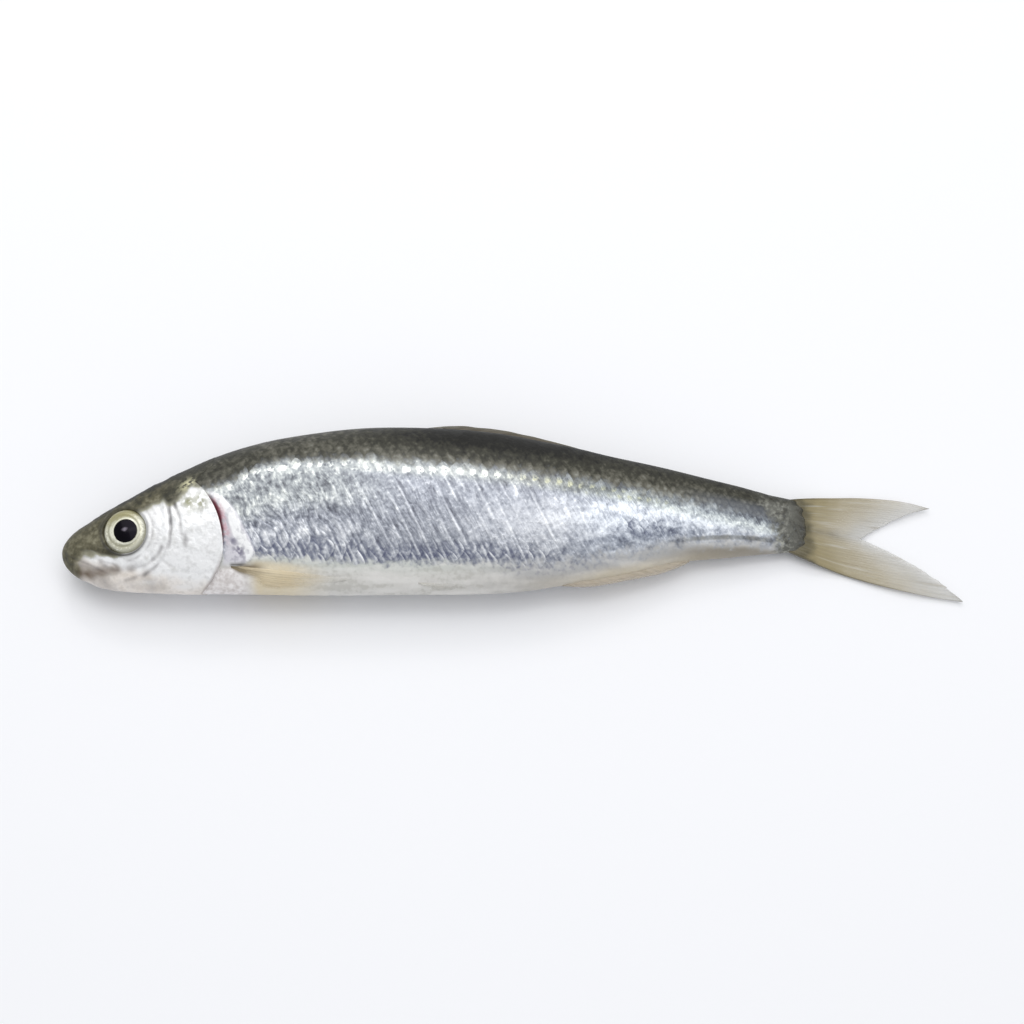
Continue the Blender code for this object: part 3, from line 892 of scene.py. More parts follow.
def makeEye(name, side, material, nodeName):
    centre, forward, upward, normal = eyeSeat(side)
    radius = eye["radius"] + eye["tuck"]
    angles = np.linspace(0, math.tau, eye["segments"], endpoint=False)

    def placed(acrossX, acrossY, outward):
        steps = ((acrossX * radius, forward), (acrossY * radius, upward), (outward, normal))
        return centre + sum(distance[..., None] * direction for distance, direction in steps)

    # front dome first, then the back of the ball, which the socket hides
    frontShares = np.sin(np.linspace(0.01, 1, eye["rings"]) * math.pi / 2)
    front, angle = np.meshgrid(frontShares, angles, indexing="ij")
    acrossX, acrossY = front * np.cos(angle), front * np.sin(angle)
    pupil = np.hypot(acrossX - eye["pupilShift"][0], acrossY - eye["pupilShift"][1])
    dome = np.sqrt(np.maximum(1 - front ** 2, 0)) * eye["depth"]
    dome += 0.10 * bell(pupil, 0.42) + 0.05 * bell(front - 0.86, 0.07) - 0.05 * bell(front - 0.72, 0.06)
    backShares = np.sin(np.linspace(1, 0.02, eye["backRings"]) * math.pi / 2)
    back, backAngle = np.meshgrid(backShares, angles, indexing="ij")
    shrunk = back * eye["backShrink"]
    backDepth = -eye["backDepth"] * eye["depth"] * np.sqrt(np.maximum(1 - back ** 2, 0)) - 0.1
    backPoints = placed(shrunk * np.cos(backAngle), shrunk * np.sin(backAngle), backDepth)
    points = np.concatenate((placed(acrossX, acrossY, dome), backPoints))
    rings = np.concatenate((packed(front, pupil, acrossY), packed(back + 0.2, back + 0.2)))
    # the rings run the other way round on the right eye, to face outward
    points, rings = points[::-1, ::side], rings[::-1, ::side]
    return tubeMesh(name, points, {"eyeRings": rings}, material, nodeName)


eyeLook = {
    "irisStops": (
        (0.48, tint(228, 226, 204)), (0.57, tint(242, 241, 224)), (0.63, tint(208, 206, 184)),
        (0.69, tint(178, 176, 154)), (0.76, tint(226, 224, 204)), (0.86, tint(238, 237, 222)),
        (0.93, tint(196, 195, 178)), (1.0, tint(120, 117, 100)),
    ),
    "pupil": tint(16, 13, 20), "lens": tint(122, 116, 126), "olive": tint(146, 139, 92),
    "irisShade": tint(160, 157, 130), "pupilRim": tint(246, 245, 230), "pupilBlur": 0.012,
    "grain": (2.6, 3.0, 0.6),
    "constants": {"Coat Roughness": 0.12, "Coat IOR": 1.4, "Roughness": 0.4, "IOR": 1.35},
}


def makeEyeLook():
    look = eyeLook
    material, tree, shader = newMaterial("wet eye", look["constants"])
    ring, pupil, upward = readMap(tree, "eyeRings")
    grain = noiseValue(placeInMm(tree), *look["grain"])
    grained = grain - 0.5
    size, blur = eye["pupilSize"], look["pupilBlur"]
    inPupil = (pupil + grained * 0.015).rise(size + blur, size - blur)
    # painted highlight: a soft pale spot near the middle of the pupil
    lensGlow = (pupil + 0.8 * (upward - 0.02).math("ABSOLUTE") + grained * 0.1).rise(0.22, 0.02)
    color = layered(
        rampColor(ring + grained * 0.05, look["irisStops"]),
        ((upward + grained * 0.5).rise(0.1, 0.75) * ring.rise(1.02, 0.95) * 0.9, look["olive"]),
        ((grain + (upward - ring) * 0.15).rise(0.42, 0.30) * 0.5, look["irisShade"]),
        (pupil.near(size + 0.05, 0.05) * 0.6, look["pupilRim"]),
        (inPupil, mixColor(lensGlow, look["pupil"], look["lens"])),
    )
    feed(shader, {
        "Base Color": color, "Metallic": 0.2 + inPupil * 0.8, "Coat Weight": 0.8 - 0.6 * inPupil,
        "Normal": bumpNormal(grain * (1 - inPupil) * 0.04),
    })
    return material


# Head, with gill covers whose free edges stand off the shoulder and end in a lip that turns in and under
head = {
    "rings": 262, "segments": 264, "evenPlace": 12.0, "snoutCrowding": 0.08,
    "lipProfile": ((0.04, -0.05), (0.07, -0.13), (0.05, -0.22), (-0.15, -0.42), (-0.7, -0.75), (-2.2, -1.2)),
    "mouthLength": 5.6, "mouthDrop": 3.0, "mouthDepth": 0.09, "coverBulge": (17.2, 2.6, 0.6, 3.2),
    "cheekHeights": (-6.2, -5.0, 7.0, 8.0),
    "nostrils": ((4.2, 2.3, 0.2), (4.8, 2.5, 0.16)), "nostrilDepth": 0.16,
    "socket": (2.62, 2.92), "socketDepth": 1.5, "orbitRim": 3.25, "orbitRise": 0.07, "orbitClear": (2.9, 3.6),
}
# Lower edge of the dark crown and upper edge of the pink jaw: place and height
crownKnots = np.array((
    (0.0, -5.0), (0.8, -4.2), (1.3, -3.1), (1.9, -1.7), (2.9, -0.9), (4.3, -0.4), (5.7, -0.4), (7.6, 0.2),
    (9.3, 3.2), (11.0, 4.6), (12.2, 5.2), (13.4, 5.5), (14.1, 4.8), (15.0, 5.3), (16.2, 6.5), (17.4, 7.5),
    (18.8, 7.1), (22.0, 7.2),
))
jawKnots = np.array((
    (0.0, -1.2), (3.0, -1.6), (6.0, -2.6), (9.5, -3.4), (13.0, -4.2), (18.0, -5.2), (22.0, -5.6),
))
# Lines of the head in the side view: place and height
headLines = {
    "preopercle": (
        (14.0, 5.4), (14.45, 3.0), (14.5, 1.2), (14.2, -0.4), (13.6, -1.8), (12.5, -2.9),
        (10.8, -3.8), (8.6, -4.3),
    ),
    "cheek": ((14.9, 4.9), (15.3, 3.9), (15.7, 2.4), (15.8, 1.0)),
    "subopercle": ((13.6, -2.4), (15.2, -3.2), (17.4, -3.8), (19.6, -3.6)),
    "jaw": ((5.4, -2.0), (7.0, -3.0), (9.0, -3.1), (11.0, -2.7), (12.6, -1.7), (13.3, -0.6)),
    "maxilla": ((1.4, -1.3), (3.4, -1.8), (5.4, -2.4), (7.0, -3.0)),
    "lip": ((1.0, -2.7), (2.8, -3.2), (5.2, -3.25), (7.6, -2.9)),
    "eyeShade": ((3.8, 0.0), (5.0, -0.4), (6.4, -0.75), (8.0, -1.2)),
}
# Grooves along some of the lines: depth and width, then strength and width of the shade
grooves = {
    "preopercle": (0.09, 0.22, 0.56, 0.28), "cheek": (0.04, 0.22, 0.38, 0.27),
    "subopercle": (0.05, 0.2, 0.15, 0.32), "jaw": (0.05, 0.26, 0.19, 0.32),
}
# Soft shades on the silver and glints on the jaw: strength and mark
headShades = (
    (0.13, (14.95, 0.4, 3.0, 0.9)), (0.3, (16.4, 0.4, 0.2, 1.0)), (0.06, (9.0, 2.0, -2.6, 0.5)),
    (0.07, (12.4, 1.3, 2.6, 3.0)),
)
jawGlints = ((1.0, (16.1, 1.7, -5.2, 0.45)), (0.8, (11.6, 1.3, -4.6, 0.35)))


def headForm():
    turns = evenTurns(head["evenPlace"], head["segments"])
    t = np.linspace(0, 1, head["rings"] + 1)[1:]
    crowd = head["snoutCrowding"]
    share = t * t / (t + crowd) * (1 + crowd)
    edge = headEdge(turns)
    place = share[:, None] * edge[None, :]
    return place, np.broadcast_to(turns, place.shape), np.broadcast_to(edge, place.shape)


def orbitField(points, turn):
    # distance from the nearer eye's middle and the angle round it
    orbit, angle = np.full(turn.shape, 99.0), np.zeros(turn.shape)
    for side in (1, -1):
        centre, forward, upward, outward = eyeSeat(side)
        offset = points - centre
        acrossX, acrossY = offset @ forward, offset @ upward
        near = (offset @ outward > -1.5) & ((turn < math.pi) if side > 0 else (turn > math.pi))
        orbit = np.where(near, np.hypot(acrossX, acrossY), orbit)
        angle = np.where(near, np.arctan2(acrossY, acrossX), angle)
    return orbit, angle


def makeHead(material):
    place, turn, edge = headForm()
    points = skin(place, turn)
    height = points[..., 1].copy()
    normals = ringNormals(onTable(points))
    under = halfTurn(turn)
    away = {name: lineDistance(place, height, line) for name, line in headLines.items()}

    # the gill cover rises to its free edge
    forward = np.clip((place - gill["front"]) / (edge - gill["front"]), 0, 1)
    down = np.clip((gill["lowTurn"] - under) / (gill["lowTurn"] - gill["topTurn"]), 0, 1)
    ends = np.clip(6 * down * (1 - down), 0, 1)
    lift = gill["lift"] * forward ** 2 * ends * (2 - ends) + gill["napeLift"] * smoothStep(0.5, 1.0, forward)
    lift += 0.10 * oval(place, height, head["coverBulge"])

    # soft grooves between the bones of the cheek, the raised upper jaw and the slimmer snout
    onCheek = between(height, *head["cheekHeights"])
    lift += onCheek * 0.06 * bell(lineDistance(place + 0.5, height, headLines["preopercle"]), 0.4)
    for name, (depth, width, _, _) in grooves.items():
        lift -= onCheek * depth * bell(away[name], width)
    lift += 0.07 * smoothStep(0.65, 0.25, away["maxilla"])
    slimmer = 0.32 * smoothStep(-0.5, 2.0, height) + 0.3 * smoothStep(-0.8, -2.6, height)
    lift -= bell(place - 2.8, 1.7) * slimmer
    onSkin = smoothStep(1.0, 3.0, place)
    lift += 0.035 * ripples(place, height, 3.0, 21) * onSkin * (1 - 0.6 * forward)
    lift += 0.016 * ripples(place * 1.5, height * 0.7, 1.2, 22) * onSkin * (1 - forward)

    # gape from the snout tip, down and back, and the nostrils
    mouthShare = np.linspace(0, 1, 12)
    mouthPath = np.stack((head["mouthLength"] * mouthShare, -head["mouthDrop"] * mouthShare ** 0.8), axis=-1)
    gape = lineDistance(place, height, mouthPath)
    lift -= head["mouthDepth"] * bell(gape, 0.16) * smoothStep(0.15, 0.6, place)
    for atPlace, atHeight, size in head["nostrils"]:
        lift -= head["nostrilDepth"] * bell(np.hypot(place - atPlace, height - atHeight), size)

    # orbit: a soft rim round a socket that holds the eyeball
    orbit, angle = orbitField(points, turn)
    lift *= smoothStep(*head["orbitClear"], orbit)
    lift += head["orbitRise"] * bell(orbit - head["orbitRim"], 0.3)
    lift -= head["socketDepth"] * (1 - smoothStep(*head["socket"], orbit))
    points = onTable(points + normals * lift[..., None])

    # the free edge turns in and under, to end inside the trunk
    lip = [
        onTable(skin(edge[-1] + back, turn[-1]) + normals[-1] * (lift[-1] + drop)[:, None], 0.02)
        for back, drop in head["lipProfile"]
    ]
    points = np.concatenate((points, np.array(lip)))

    # the dark crown, the dark tongue from it under the eye, and how bright they are
    uneven = ripples(place, height, 2.4, 31)
    aboveCrown = height - smoothThrough(place, *crownKnots.T)
    crown = smoothStep(-1.2, 0.8, aboveCrown + 0.3 * uneven)
    crown = np.maximum(crown, smoothStep(3.2, 0.4, place + 0.3 * uneven))
    tongue = away["eyeShade"] + 0.12 * uneven
    crown = np.maximum(crown, smoothStep(0.9, 0.0, tongue) * smoothStep(9.4, 6.4, place))
    nape = smoothStep(12.0, 18.0, place)
    ridge = smoothStep(46, 14, np.degrees(under))
    topRim = smoothStep(38, 22, np.degrees(under)) * smoothStep(3.0, 8.0, place)
    crownTone = 0.30 - (0.2 - 0.12 * nape) * ridge - (0.2 - 0.08 * nape) * topRim + 0.03 * uneven
    crownTone += 0.12 * oval(place, height, (5.0, 2.4, 0.8, 1.5)) - 0.07 * bell(tongue, 0.6)
    crownTone += 0.05 * bell(aboveCrown - 0.4, 0.9) * smoothStep(8.0, 10.0, place)
    crownTone += 0.05 * smoothStep(6.0, 2.0, place) - 0.09 * oval(place, aboveCrown, (17.5, 3.5, 1.6, 1.3))
    crownTone -= 0.14 * oval(place, height, (13.9, 0.7, 5.7, 0.8))
    napeGlint = bell(np.hypot((place - 16.6) * 0.8, height - 7.4 - 0.35 * (place - 16.6)), 0.75)

    # the pink jaw, the brown lip and how bright the silver is
    jawPaint = smoothStep(1.0, -0.5, height - smoothThrough(place, *jawKnots.T) + 0.2 * uneven)
    jawPaint = jawPaint * (1 - 0.7 * ovals(place, height, jawGlints))
    lipPaint = bell(away["lip"] + 0.15 * uneven, 0.6) * (1.0 - 0.6 * smoothStep(2.5, 7.5, place))
    bright = 0.965 + 0.02 * uneven - jawPaint * (0.05 + 0.10 * smoothStep(9.0, 4.0, place))
    bright += 0.11 * bell(place - 17.8, 3.2)
    bright -= 0.05 * smoothStep(13.5, 11.0, place) * smoothStep(0.0, 4.0, height)
    high = 0.35 + 0.65 * smoothStep(-2.0, 3.5, height)
    patchy = 0.75 + 0.5 * ripples(place, height, 1.7, 35)
    shade = {name: strength * bell(away[name], width) for name, (_, _, strength, width) in grooves.items()}
    shades = high * (shade["preopercle"] + shade["cheek"]) + shade["subopercle"] + shade["jaw"]
    bright -= onCheek * patchy * shades + ovals(place, height, headShades)
    # painted shade along the gape and beside the raised edge of the upper jaw
    bright -= 0.12 * bell(gape, 0.25) * smoothStep(0.3, 1.5, place) + 0.07 * bell(away["maxilla"] - 0.62, 0.2)
    olive = bell(np.hypot((place - 17.6) * 0.7, height - 4.9), 1.1) * (0.9 + 0.4 * uneven)
    lowEdge = smoothStep(gill["lowTurn"] - 0.95, gill["lowTurn"] - 0.5, under)
    lowEdge = lowEdge * smoothStep(0.93, 1.0, forward)

    # painted shade in the groove round the eye, strongest below and in front of it, and lines behind the eye
    socketShade = bell(orbit - 3.06, 0.22) * (0.25 + 0.75 * (0.5 - 0.5 * np.sin(angle + 0.5)))
    behindEye = np.clip(0.5 + 0.5 * np.cos(angle + 0.6), 0, 1)
    bright -= 0.12 * behindEye * (bell(orbit - 3.75, 0.17) + 0.6 * bell(orbit - 4.5, 0.2)) * patchy
    maps = {
        "headPaint": packed(crown, crownTone, jawPaint),
        "headLight": packed(bright, olive, socketShade),
        "headEdge": packed(napeGlint, 0.6 * lowEdge),
        "headRear": packed(nape, lipPaint),
    }
    for mapName, values in maps.items():
        maps[mapName] = np.concatenate((values, np.repeat(values[-1:], len(lip), axis=0)))
    maps["headEdge"][-len(lip):, :, 2] = gillOpen(turn[-1])
    return tubeMesh("head", points, maps, material, "sardine")


headLook = {
    "crownStops": (
        (0.0, tint(24, 23, 15)), (0.2, tint(52, 50, 35)), (0.36, tint(90, 86, 66)),
        (0.5, tint(128, 124, 102)), (0.7, tint(184, 182, 168)),
    ),
    "silverStops": (
        (0.4, tint(104, 102, 104)), (0.62, tint(160, 159, 160)), (0.8, tint(212, 211, 211)),
        (0.95, tint(250, 250, 250)),
    ),
    "jaw": tint(242, 230, 217), "lip": tint(112, 96, 80), "olive": tint(142, 142, 108),
    # socket is the colour of the painted shade round the eye
    "gold": tint(222, 218, 178), "halo": tint(212, 210, 180), "socket": tint(44, 42, 34),
    "gillRed": tint(134, 92, 96),
    "edgeBrown": tint(140, 124, 118),
    "noises": {
        "mottle": (0.75, 3.0, 0.6), "grain": (2.4, 3.0, 0.6), "specks": (1.4, 1.0, 0.5),
        "cloud": (0.4, 1.0, 0.5),
    },
    "constants": {"Coat Roughness": 0.1, "Coat IOR": 1.36, "IOR": 1.42},
}


def makeHeadLook():
    look = headLook
    material, tree, shader = newMaterial("silver head", look["constants"])
    crown, crownTone, jaw = readMap(tree, "headPaint")
    bright, olive, socketShade = readMap(tree, "headLight")
    napeGlint, lowEdge, gillRed = readMap(tree, "headEdge")
    nape, lip = readMap(tree, "headRear")[:2]
    mottle, grain, specks, cloud = noisesOver(placeInMm(tree), look["noises"])
    mottled, grained, specked = mottle - 0.5, grain - 0.5, specks - 0.5

    onCrown = (crown + mottled * 0.5 + specked * 0.4).rise(0.0, 1.0)
    tone = bright + (cloud - 0.5) * 0.36 + mottled * 0.25 + specked * 0.16 + grained * 0.08
    silver = layered(
        rampColor(tone, look["silverStops"]),
        (jaw * (0.45 + 0.5 * mottle), look["jaw"], "MULTIPLY"),
        (olive * specks.rise(0.38, 0.52), look["olive"]),
        (lip * (0.5 + mottle), look["lip"]),
        (onCrown.rise(0.02, 0.4) * 0.8, look["halo"], "MULTIPLY"),
    )
    # the crown takes on the tones of the trunk's back at the nape
    darkTone = crownTone + mottled * 0.35 + grained * 0.25 + specked * 0.35
    dark = layered(
        rampColor(darkTone, look["crownStops"]),
        (nape, rampColor(darkTone + 0.02, scaledSkin["backStops"])),
        (napeGlint * (specks * 0.6 + grain * 0.4).rise(0.40, 0.56), look["gold"]),
    )
    color = layered(
        silver, (onCrown ** 0.5, dark), (socketShade, look["socket"]), (lowEdge, look["edgeBrown"]),
        (gillRed, look["gillRed"]),
    )
    feed(shader, {
        "Base Color": color,
        "Metallic": 0.22 * (1 - onCrown * 0.6) * (1 - jaw * 0.8) * (1 - gillRed),
        "Roughness": 0.26 + 0.16 * mottle + 0.25 * crown,
        "Coat Weight": (0.5 + 0.5 * mottle) * (1 - 0.9 * onCrown),
        "Normal": bumpNormal(mottle * 0.12 + grain * 0.025 + specks * 0.05),
    })
    return material


# Fins: thin sheets with rays, paler and clearer towards their ends.
# Each fin's look gives its colours, its cover at the root and at the end, where the root colour ends,
# and the strength of its streaks.
finSkin = {
    "ray": tint(150, 136, 104), "edge": tint(84, 78, 56),
    "noises": {"mottle": (0.6, 3.0, 0.6), "grain": (3.0, 2.0, 0.6)},
    "constants": {"Coat Weight": 0.35, "Coat Roughness": 0.15, "Roughness": 0.42, "IOR": 1.4},
}
tailLook = {
    "root": tint(150, 138, 102), "middle": tint(196, 187, 166), "tip": tint(212, 211, 207),
    "cover": (0.92, 0.5), "rootReach": (0.12, 0.8), "streaks": 1.0,
}
pectoralLook = {
    "root": tint(140, 124, 94), "middle": tint(234, 219, 186), "tip": tint(232, 227, 214),
    "cover": (0.85, 0.0), "rootReach": (0.02, 0.34), "streaks": 0.25,
}
pelvicLook = {
    "root": tint(208, 206, 198), "middle": tint(212, 211, 206), "tip": tint(214, 213, 209),
    "cover": (0.4, 0.0), "rootReach": (0.08, 0.6), "streaks": 1.0,
}
dorsalLook = {
    "root": tint(74, 68, 56), "middle": tint(98, 90, 75), "tip": tint(62, 58, 50),
    "cover": (0.97, 0.95), "rootReach": (0.08, 0.6), "streaks": 0.45,
}
analLook = {
    "root": tint(198, 186, 168), "middle": tint(200, 189, 170), "tip": tint(182, 174, 160),
    "cover": (0.88, 0.7), "rootReach": (0.08, 0.6), "streaks": 1.0,
}


def makeFinLook(name, look):
    # finMap holds the share of the length, the ray pattern and the darkness of an edge, which fades below 0
    material, tree, shader = newMaterial(name, finSkin["constants"])
    out, ray, edge = readMap(tree, "finMap")
    mottle, grain = noisesOver(placeInMm(tree), finSkin["noises"])
    streak = noiseValue(mapVector(tree, "finSpread"), 1.0, 2.0)
    reach = out + (mottle - 0.5) * 0.2 + (streak - 0.5) * 0.3
    color = layered(
        look["root"],
        (reach.rise(*look["rootReach"]), look["middle"]),
        (reach.rise(0.5, 1.0), look["tip"]),
        (ray * 0.08 + streak.rise(0.5, 0.7) * (0.35 * look["streaks"]), finSkin["ray"]),
        (streak.rise(0.5, 0.3) * (0.4 * look["streaks"]), look["tip"]),
        (edge * (0.45 + 1.1 * mottle), finSkin["edge"]),
    )
    rootCover, endCover = look["cover"]
    alpha = rootCover + (endCover - rootCover) * reach.rise(0.1, 1.0) + ray * 0.08 + edge * 0.3
    feed(shader, {
        "Base Color": color, "Alpha": alpha.math("MINIMUM", 1.0).math("MAXIMUM", 0.0),
        "Normal": bumpNormal(ray * 0.012 + grain * 0.02),
    })
    return material


def rayPattern(share, out, rays, branchAt):
    # ridges that split in two past branchAt
    single = 0.5 + 0.5 * np.cos(share * rays * math.tau)
    double = 0.5 + 0.5 * np.cos(share * rays * 2 * math.tau)
    branch = smoothStep(branchAt - 0.12, branchAt + 0.12, out)
    return (single * (1 - branch) + double * branch) ** 2


# Tail fin, in the side view: root, control point and tip of each leading edge, and the fork
tail = {
    "root": 92.6, "upper": ((92.6, 5.5), (104.0, 6.9), (111.6, 4.2)), "upperBulge": (107.4, 3.4),
    "lower": ((92.6, -1.3), (104.0, -6.6), (115.0, -8.3)), "lowerBulge": (111.0, -3.6), "fork": (102.4, 0.4),
    "rootThickness": 0.46, "rimThickness": 0.12, "lie": 0.4, "settle": 8.0, "sway": 0.22,
    "rays": 9, "rayRise": 0.011, "branchAt": 0.45, "fray": 0.015, "frayKnots": 75,
    "rows": 150, "columns": 260, "fringe": (96.9, 95.2), "fringeDark": 0.85,
}


def bend(start, control, end, t):
    start, control, end = (np.array(point) for point in (start, control, end))
    t = t[..., None]
    return start * (1 - t) ** 2 + control * 2 * t * (1 - t) + end * t ** 2


def tailLobe(leading, bulge, out, share):
    # share runs from 0 on the fork line to 1 on the leading edge
    root, tip = np.array(leading[0]), np.array(leading[2])
    forkRoot = (np.array(tail["upper"][0]) + np.array(tail["lower"][0])) / 2
    shareColumn, outColumn = share[..., None], out[..., None]
    start = forkRoot + (root - forkRoot) * shareColumn
    end = bend(tail["fork"], bulge, leading[2], share)
    bow = bend(*leading, out) - (root + (tip - root) * outColumn)
    return start + (end - start) * outColumn + bow * shareColumn ** 1.5


def makeTailFin(material):
    out, across = unitGrid(tail["rows"], tail["columns"])
    share = np.abs(2 * across - 1)
    draw = np.random.default_rng(9)
    knots = tail["frayKnots"]
    fringe = np.interp(across[0], np.linspace(0, 1, knots), draw.uniform(0, 1, knots))
    reach = out * (1 - tail["fray"] * fringe * smoothStep(0.02, 0.2, 1 - share) * smoothStep(0.5, 1.0, out))
    upper = tailLobe(tail["upper"], tail["upperBulge"], reach, share)
    lower = tailLobe(tail["lower"], tail["lowerBulge"], reach, share)
    flat = np.where(across[..., None] > 0.5, upper, lower)
    flatX, flatY = flat[..., 0], flat[..., 1]
    rootHeight = along(tail["root"], 4)
    settled = smoothStep(0, 1, (flatX - tail["root"]) / tail["settle"])
    middle = rootHeight + (tail["lie"] - rootHeight) * settled
    middle = middle + tail["sway"] * (1 + ripples(flatX, flatY, 9.0, 14)) * smoothStep(0.25, 0.8, out)
    ray = rayPattern(share, out, tail["rays"], tail["branchAt"])
    thinned = (tail["rimThickness"] - tail["rootThickness"]) * smoothStep(0.0, 0.75, out)
    thick = tail["rootThickness"] + thinned
    thick = thick * (1 + 0.5 * smoothStep(0.90, 1.0, share)) * np.sqrt(np.clip((1 - share) / 0.02, 0.06, 1))
    thick = thick + tail["rayRise"] * ray * 2
    faces = [np.stack((flatX, flatY, middle + half), axis=-1) for half in (thick / 2, -thick / 2)]

    # dark leading edges and tips, the streak behind the root's middle and the shade next to the flesh
    dark = 0.5 * smoothStep(0.965, 1.0, share) * (1 - 0.6 * smoothStep(0.3, 0.8, out))
    dark += 0.5 * bell(share, 0.09) * smoothStep(0.95, 0.5, out)
    dark += 0.3 * smoothStep(0.95, 1.0, out) * smoothStep(0.7, 0.95, share)
    uneven = 0.4 * ripples(flatX * 0.4, flatY, 1.3, 61)
    dark += tail["fringeDark"] * smoothStep(*tail["fringe"], flatX + uneven)
    maps = {
        "finMap": packed(out, ray, np.clip(dark, 0, 1)),
        "finSpread": packed((2 * across - 1) * tail["rays"], out * 1.4),
    }
    return sheetMesh("tailFin", *faces, maps, material, "sardine", "fin_membrane")


# Fins that lie flat on the flank: place and turn of the base, length, turn of the tip, widest angle
pectoral = {
    "start": 22.0, "length": 16.0, "turn": 133.0, "tipTurn": 150.0, "spread": 25.0, "rays": 11, "slit": 0.85,
    "rows": 90, "columns": 90,
}
pelvic = {
    "start": 45.5, "length": 7.0, "turn": 155.0, "tipTurn": 158.0, "spread": 12.0, "rays": 7, "slit": 0.0,
    "rows": 50, "columns": 50,
}
flatFin = {
    "rootTurn": 6.0, "tipTurn": 2.5, "raise": 0.22, "embed": 0.25, "embedFloor": 0.05, "rayRise": 0.015,
    "branchAt": 0.6, "fade": 2.8,
}


def makeFlatFin(name, fin, side, material):
    out, across = unitGrid(fin["rows"], fin["columns"])
    spread = flatFin["rootTurn"] + fin["spread"] * np.sin(math.pi * out ** 0.85) * (1 - 0.35 * out)
    spread = spread + (flatFin["tipTurn"] - flatFin["rootTurn"]) * out
    draw = np.random.default_rng(17)
    knots = 3 * fin["rays"]
    fringe = np.interp(across, np.linspace(0, 1, knots), draw.uniform(0, 1, knots))
    upperTurn = fin["turn"] + (fin["tipTurn"] - fin["turn"]) * out
    turn = side * np.radians(upperTurn + spread * (1 - across))
    place = fin["start"] + fin["length"] * out * (1 - 0.12 * (1 - across) - 0.05 * fringe * out)
    ray = rayPattern(across, out, fin["rays"], flatFin["branchAt"])
    rounded = np.sqrt(np.clip(np.minimum(across * 1.8, (1 - across) * 12), 0.02, 1))
    rounded = rounded * np.sqrt(np.clip((1 - out) * 2.5, 0.02, 1)) * smoothStep(-0.02, 0.12, out)
    height = flatFin["raise"] * rounded * (1 - 0.6 * out) + flatFin["rayRise"] * ray * rounded
    upper = onTable(skin(place, turn, height))
    lower = onTable(skin(place, turn, -flatFin["embed"]), flatFin["embedFloor"])
    faded = smoothStep(0.45, 0.0, across) + smoothStep(0.35, 0.15, out) * smoothStep(0.85, 0.5, across)
    # painted shade: a dark line in the slit at the upper side of the fin's root
    slit = fin["slit"] * smoothStep(0.13, 0.0, out) * smoothStep(0.6, 0.95, across)
    maps = {
        "finMap": packed(out, ray, slit - flatFin["fade"] * faded),
        "finSpread": packed(across * fin["rays"] * 0.6, out * 1.2, side),
    }
    return sheetMesh(name, upper, lower, maps, material, "sardine", "fin_membrane")


# Fins folded back along the midline: start, length and height above the outline
dorsal = {
    "column": 1, "side": 1, "start": 46.0, "length": 24.0, "front": 0.7, "rear": 0.6,
    "rays": 11, "slant": 4.5,
}
anal = {
    "column": 2, "side": -1, "start": 63.5, "length": 16.5, "front": 0.7, "rear": 1.1,
    "rays": 14, "slant": 3.5,
}
foldedFin = {
    "baseThickness": 0.66, "rimThickness": 0.16, "root": 1.3, "rayRise": 0.02, "notch": 0.04, "ease": 0.3,
    "rows": 260, "columns": 26,
}


def makeFoldedFin(name, fin, material):
    rearward, out = unitGrid(foldedFin["rows"], foldedFin["columns"])
    place = fin["start"] + fin["length"] * rearward
    rise, end = (np.clip(share / foldedFin["ease"], 0, 1) for share in (rearward, 1 - rearward))
    height = fin["front"] + (fin["rear"] - fin["front"]) * rearward
    height = height * rise * (2 - rise) * (0.15 + 0.85 * end * (2 - end))
    slope = rearward * fin["rays"] - out * fin["slant"]
    ray = (0.5 + 0.5 * np.cos(slope * math.tau)) ** 2
    notched = foldedFin["notch"] * (1 + ripples(place, out, 2.2, 26)) * smoothStep(0.6, 1.0, out)
    height = height * (1 - notched)
    base, rim, root = (foldedFin[name] for name in ("baseThickness", "rimThickness", "root"))
    level = fin["side"] * (along(place, fin["column"]) - root + (root + height) * out)
    thick = base + (rim - base) * smoothStep(0.5, 1.0, out) + foldedFin["rayRise"] * ray
    middle = along(place, 4) + 0.12 * ripples(place, out, 6.0, 25) * out
    faces = [np.stack((place, level, middle + half), axis=-1) for half in (thick / 2, -thick / 2)]
    # the back fin gets a painted shadow line where it leaves the back, and a dark outer rim
    if fin["side"] > 0:
        edge = 0.8 * bell(out - 0.62, 0.1) + 0.55 * smoothStep(0.86, 0.97, out)
    else:
        edge = -1.6 * smoothStep(0.7, 1.0, out)
    maps = {"finMap": packed(rearward * 0.5, ray, edge), "finSpread": packed(slope, out * 1.2)}
    return sheetMesh(name, *faces, maps, material, "sardine", "fin_membrane")


# The table, the light and the camera
studio = {
    "floorSize": 3.0, "floor": tint(246, 246, 248), "floorCloud": tint(240, 241, 244),
    "cloudNoise": (0.01, 2.0),
    "world": (0.95, 0.97, 1.0), "worldStrength": 0.54,
    "elevation": 74.0, "tilt": -1.4, "fieldOfView": 25.0, "widthShare": 0.88,
}
lights = {
    "keyLight": {"size": 0.55, "place": (-0.08, 0.30, 0.50), "power": 1.62},
    "topLight": {"size": 0.42, "place": (0.12, 0.02, 0.55), "power": 0.74},
    "sparkLight": {"size": 0.06, "place": (-0.05, 0.42, 0.40), "power": 0.13},
}


def aim(obj, target, roll=0.0):
    direction = Vector(target) - obj.location
    facing = direction.to_track_quat("-Z", "Y").to_matrix().to_4x4()
    obj.rotation_euler = (facing @ Matrix.Rotation(math.radians(roll), 4, "Z")).to_euler()


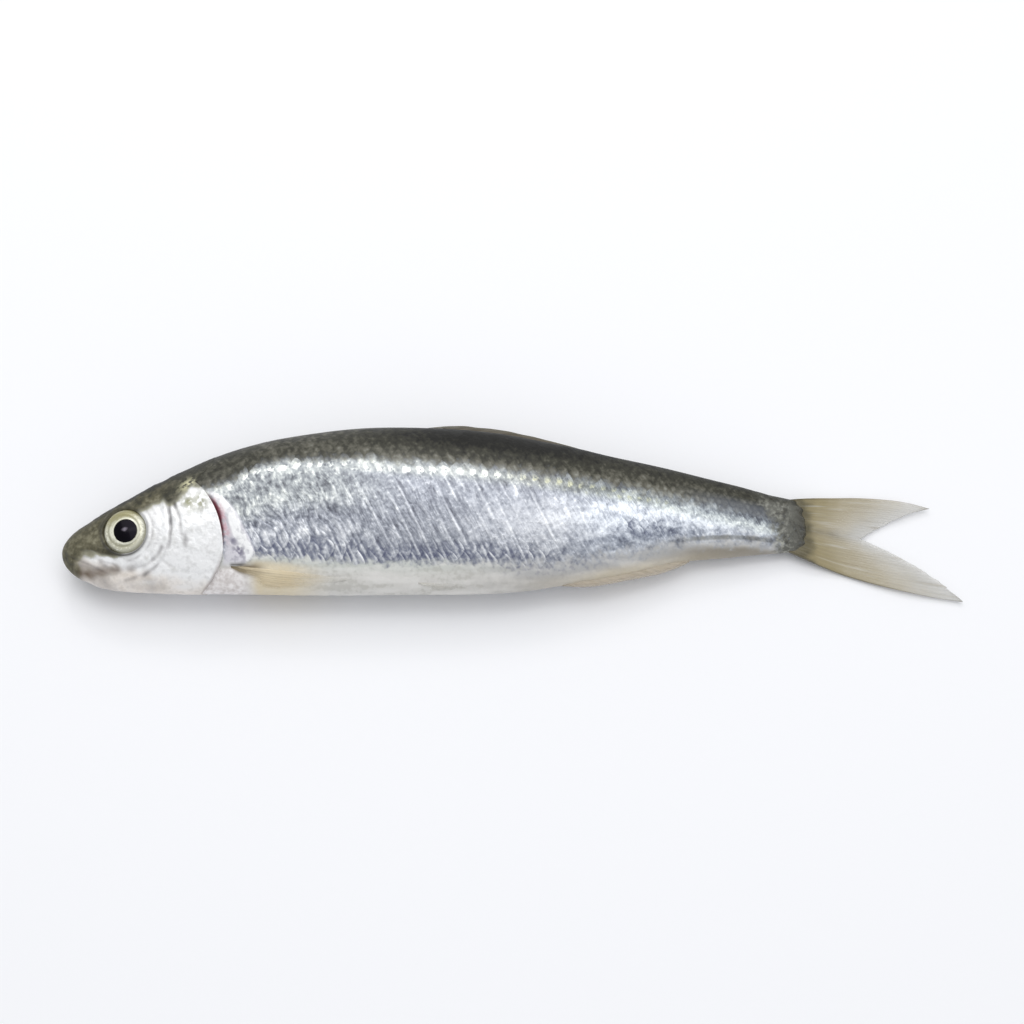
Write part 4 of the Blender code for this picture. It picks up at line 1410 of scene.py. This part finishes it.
def makeFloor():
    material, tree, shader = newMaterial("pale table", {"Roughness": 0.55, "Specular IOR Level": 0.2})
    cloud = noiseValue(placeInMm(tree), *studio["cloudNoise"])
    feed(shader, {"Base Color": mixColor(cloud * 0.2, studio["floor"], studio["floorCloud"])})
    bpy.ops.mesh.primitive_grid_add(x_subdivisions=8, y_subdivisions=8, size=studio["floorSize"])
    floor = bpy.context.object
    floor.name = "table"
    floor.data.materials.append(material)


def makeLight(name, settings, target):
    light = bpy.data.lights.new(name, "AREA")
    light.shape = "SQUARE"
    light.size = settings["size"]
    light.energy = settings["power"]
    lamp = bpy.data.objects.new(name, light)
    bpy.context.scene.collection.objects.link(lamp)
    lamp.location = settings["place"]
    aim(lamp, target)


def makeStudio():
    makeFloor()
    scene = bpy.context.scene
    scene.world = bpy.data.worlds.new("soft studio")
    scene.world.use_nodes = True
    background = scene.world.node_tree.nodes["Background"]
    background.inputs["Color"].default_value = (*studio["world"], 1)
    background.inputs["Strength"].default_value = studio["worldStrength"]
    scene.view_settings.view_transform = "Standard"
    middle = (cadLow + cadHigh) / 2
    for name, settings in lights.items():
        makeLight(name, settings, middle)

    camera = bpy.data.objects.new("camera", bpy.data.cameras.new("camera"))
    scene.collection.objects.link(camera)
    camera.data.angle = math.radians(studio["fieldOfView"])
    camera.data.clip_start = 0.01
    width = (cadHigh.x - cadLow.x) / studio["widthShare"]
    distance = width / 2 / math.tan(camera.data.angle / 2)
    rise = math.radians(studio["elevation"])
    camera.location = middle + Vector((0, -math.cos(rise), math.sin(rise))) * distance
    aim(camera, middle, studio["tilt"])
    scene.camera = camera


def main():
    makeStudio()
    print("studio ready")
    makeTrunk(makeScaledSkin())
    makeHead(makeHeadLook())
    eyeMaterial = makeEyeLook()
    makeEye("eyeLeft", 1, eyeMaterial, "eye_left")
    makeEye("eyeRight", -1, eyeMaterial, "eye_right")
    makeTailFin(makeFinLook("tail membrane", tailLook))
    pectoralMaterial = makeFinLook("side fin membrane", pectoralLook)
    pelvicMaterial = makeFinLook("small fin membrane", pelvicLook)
    for side, word in ((1, "Left"), (-1, "Right")):
        makeFlatFin("pectoralFin" + word, pectoral, side, pectoralMaterial)
        makeFlatFin("pelvicFin" + word, pelvic, side, pelvicMaterial)
    makeFoldedFin("dorsalFin", dorsal, makeFinLook("back fin membrane", dorsalLook))
    makeFoldedFin("analFin", anal, makeFinLook("belly fin membrane", analLook))


main()
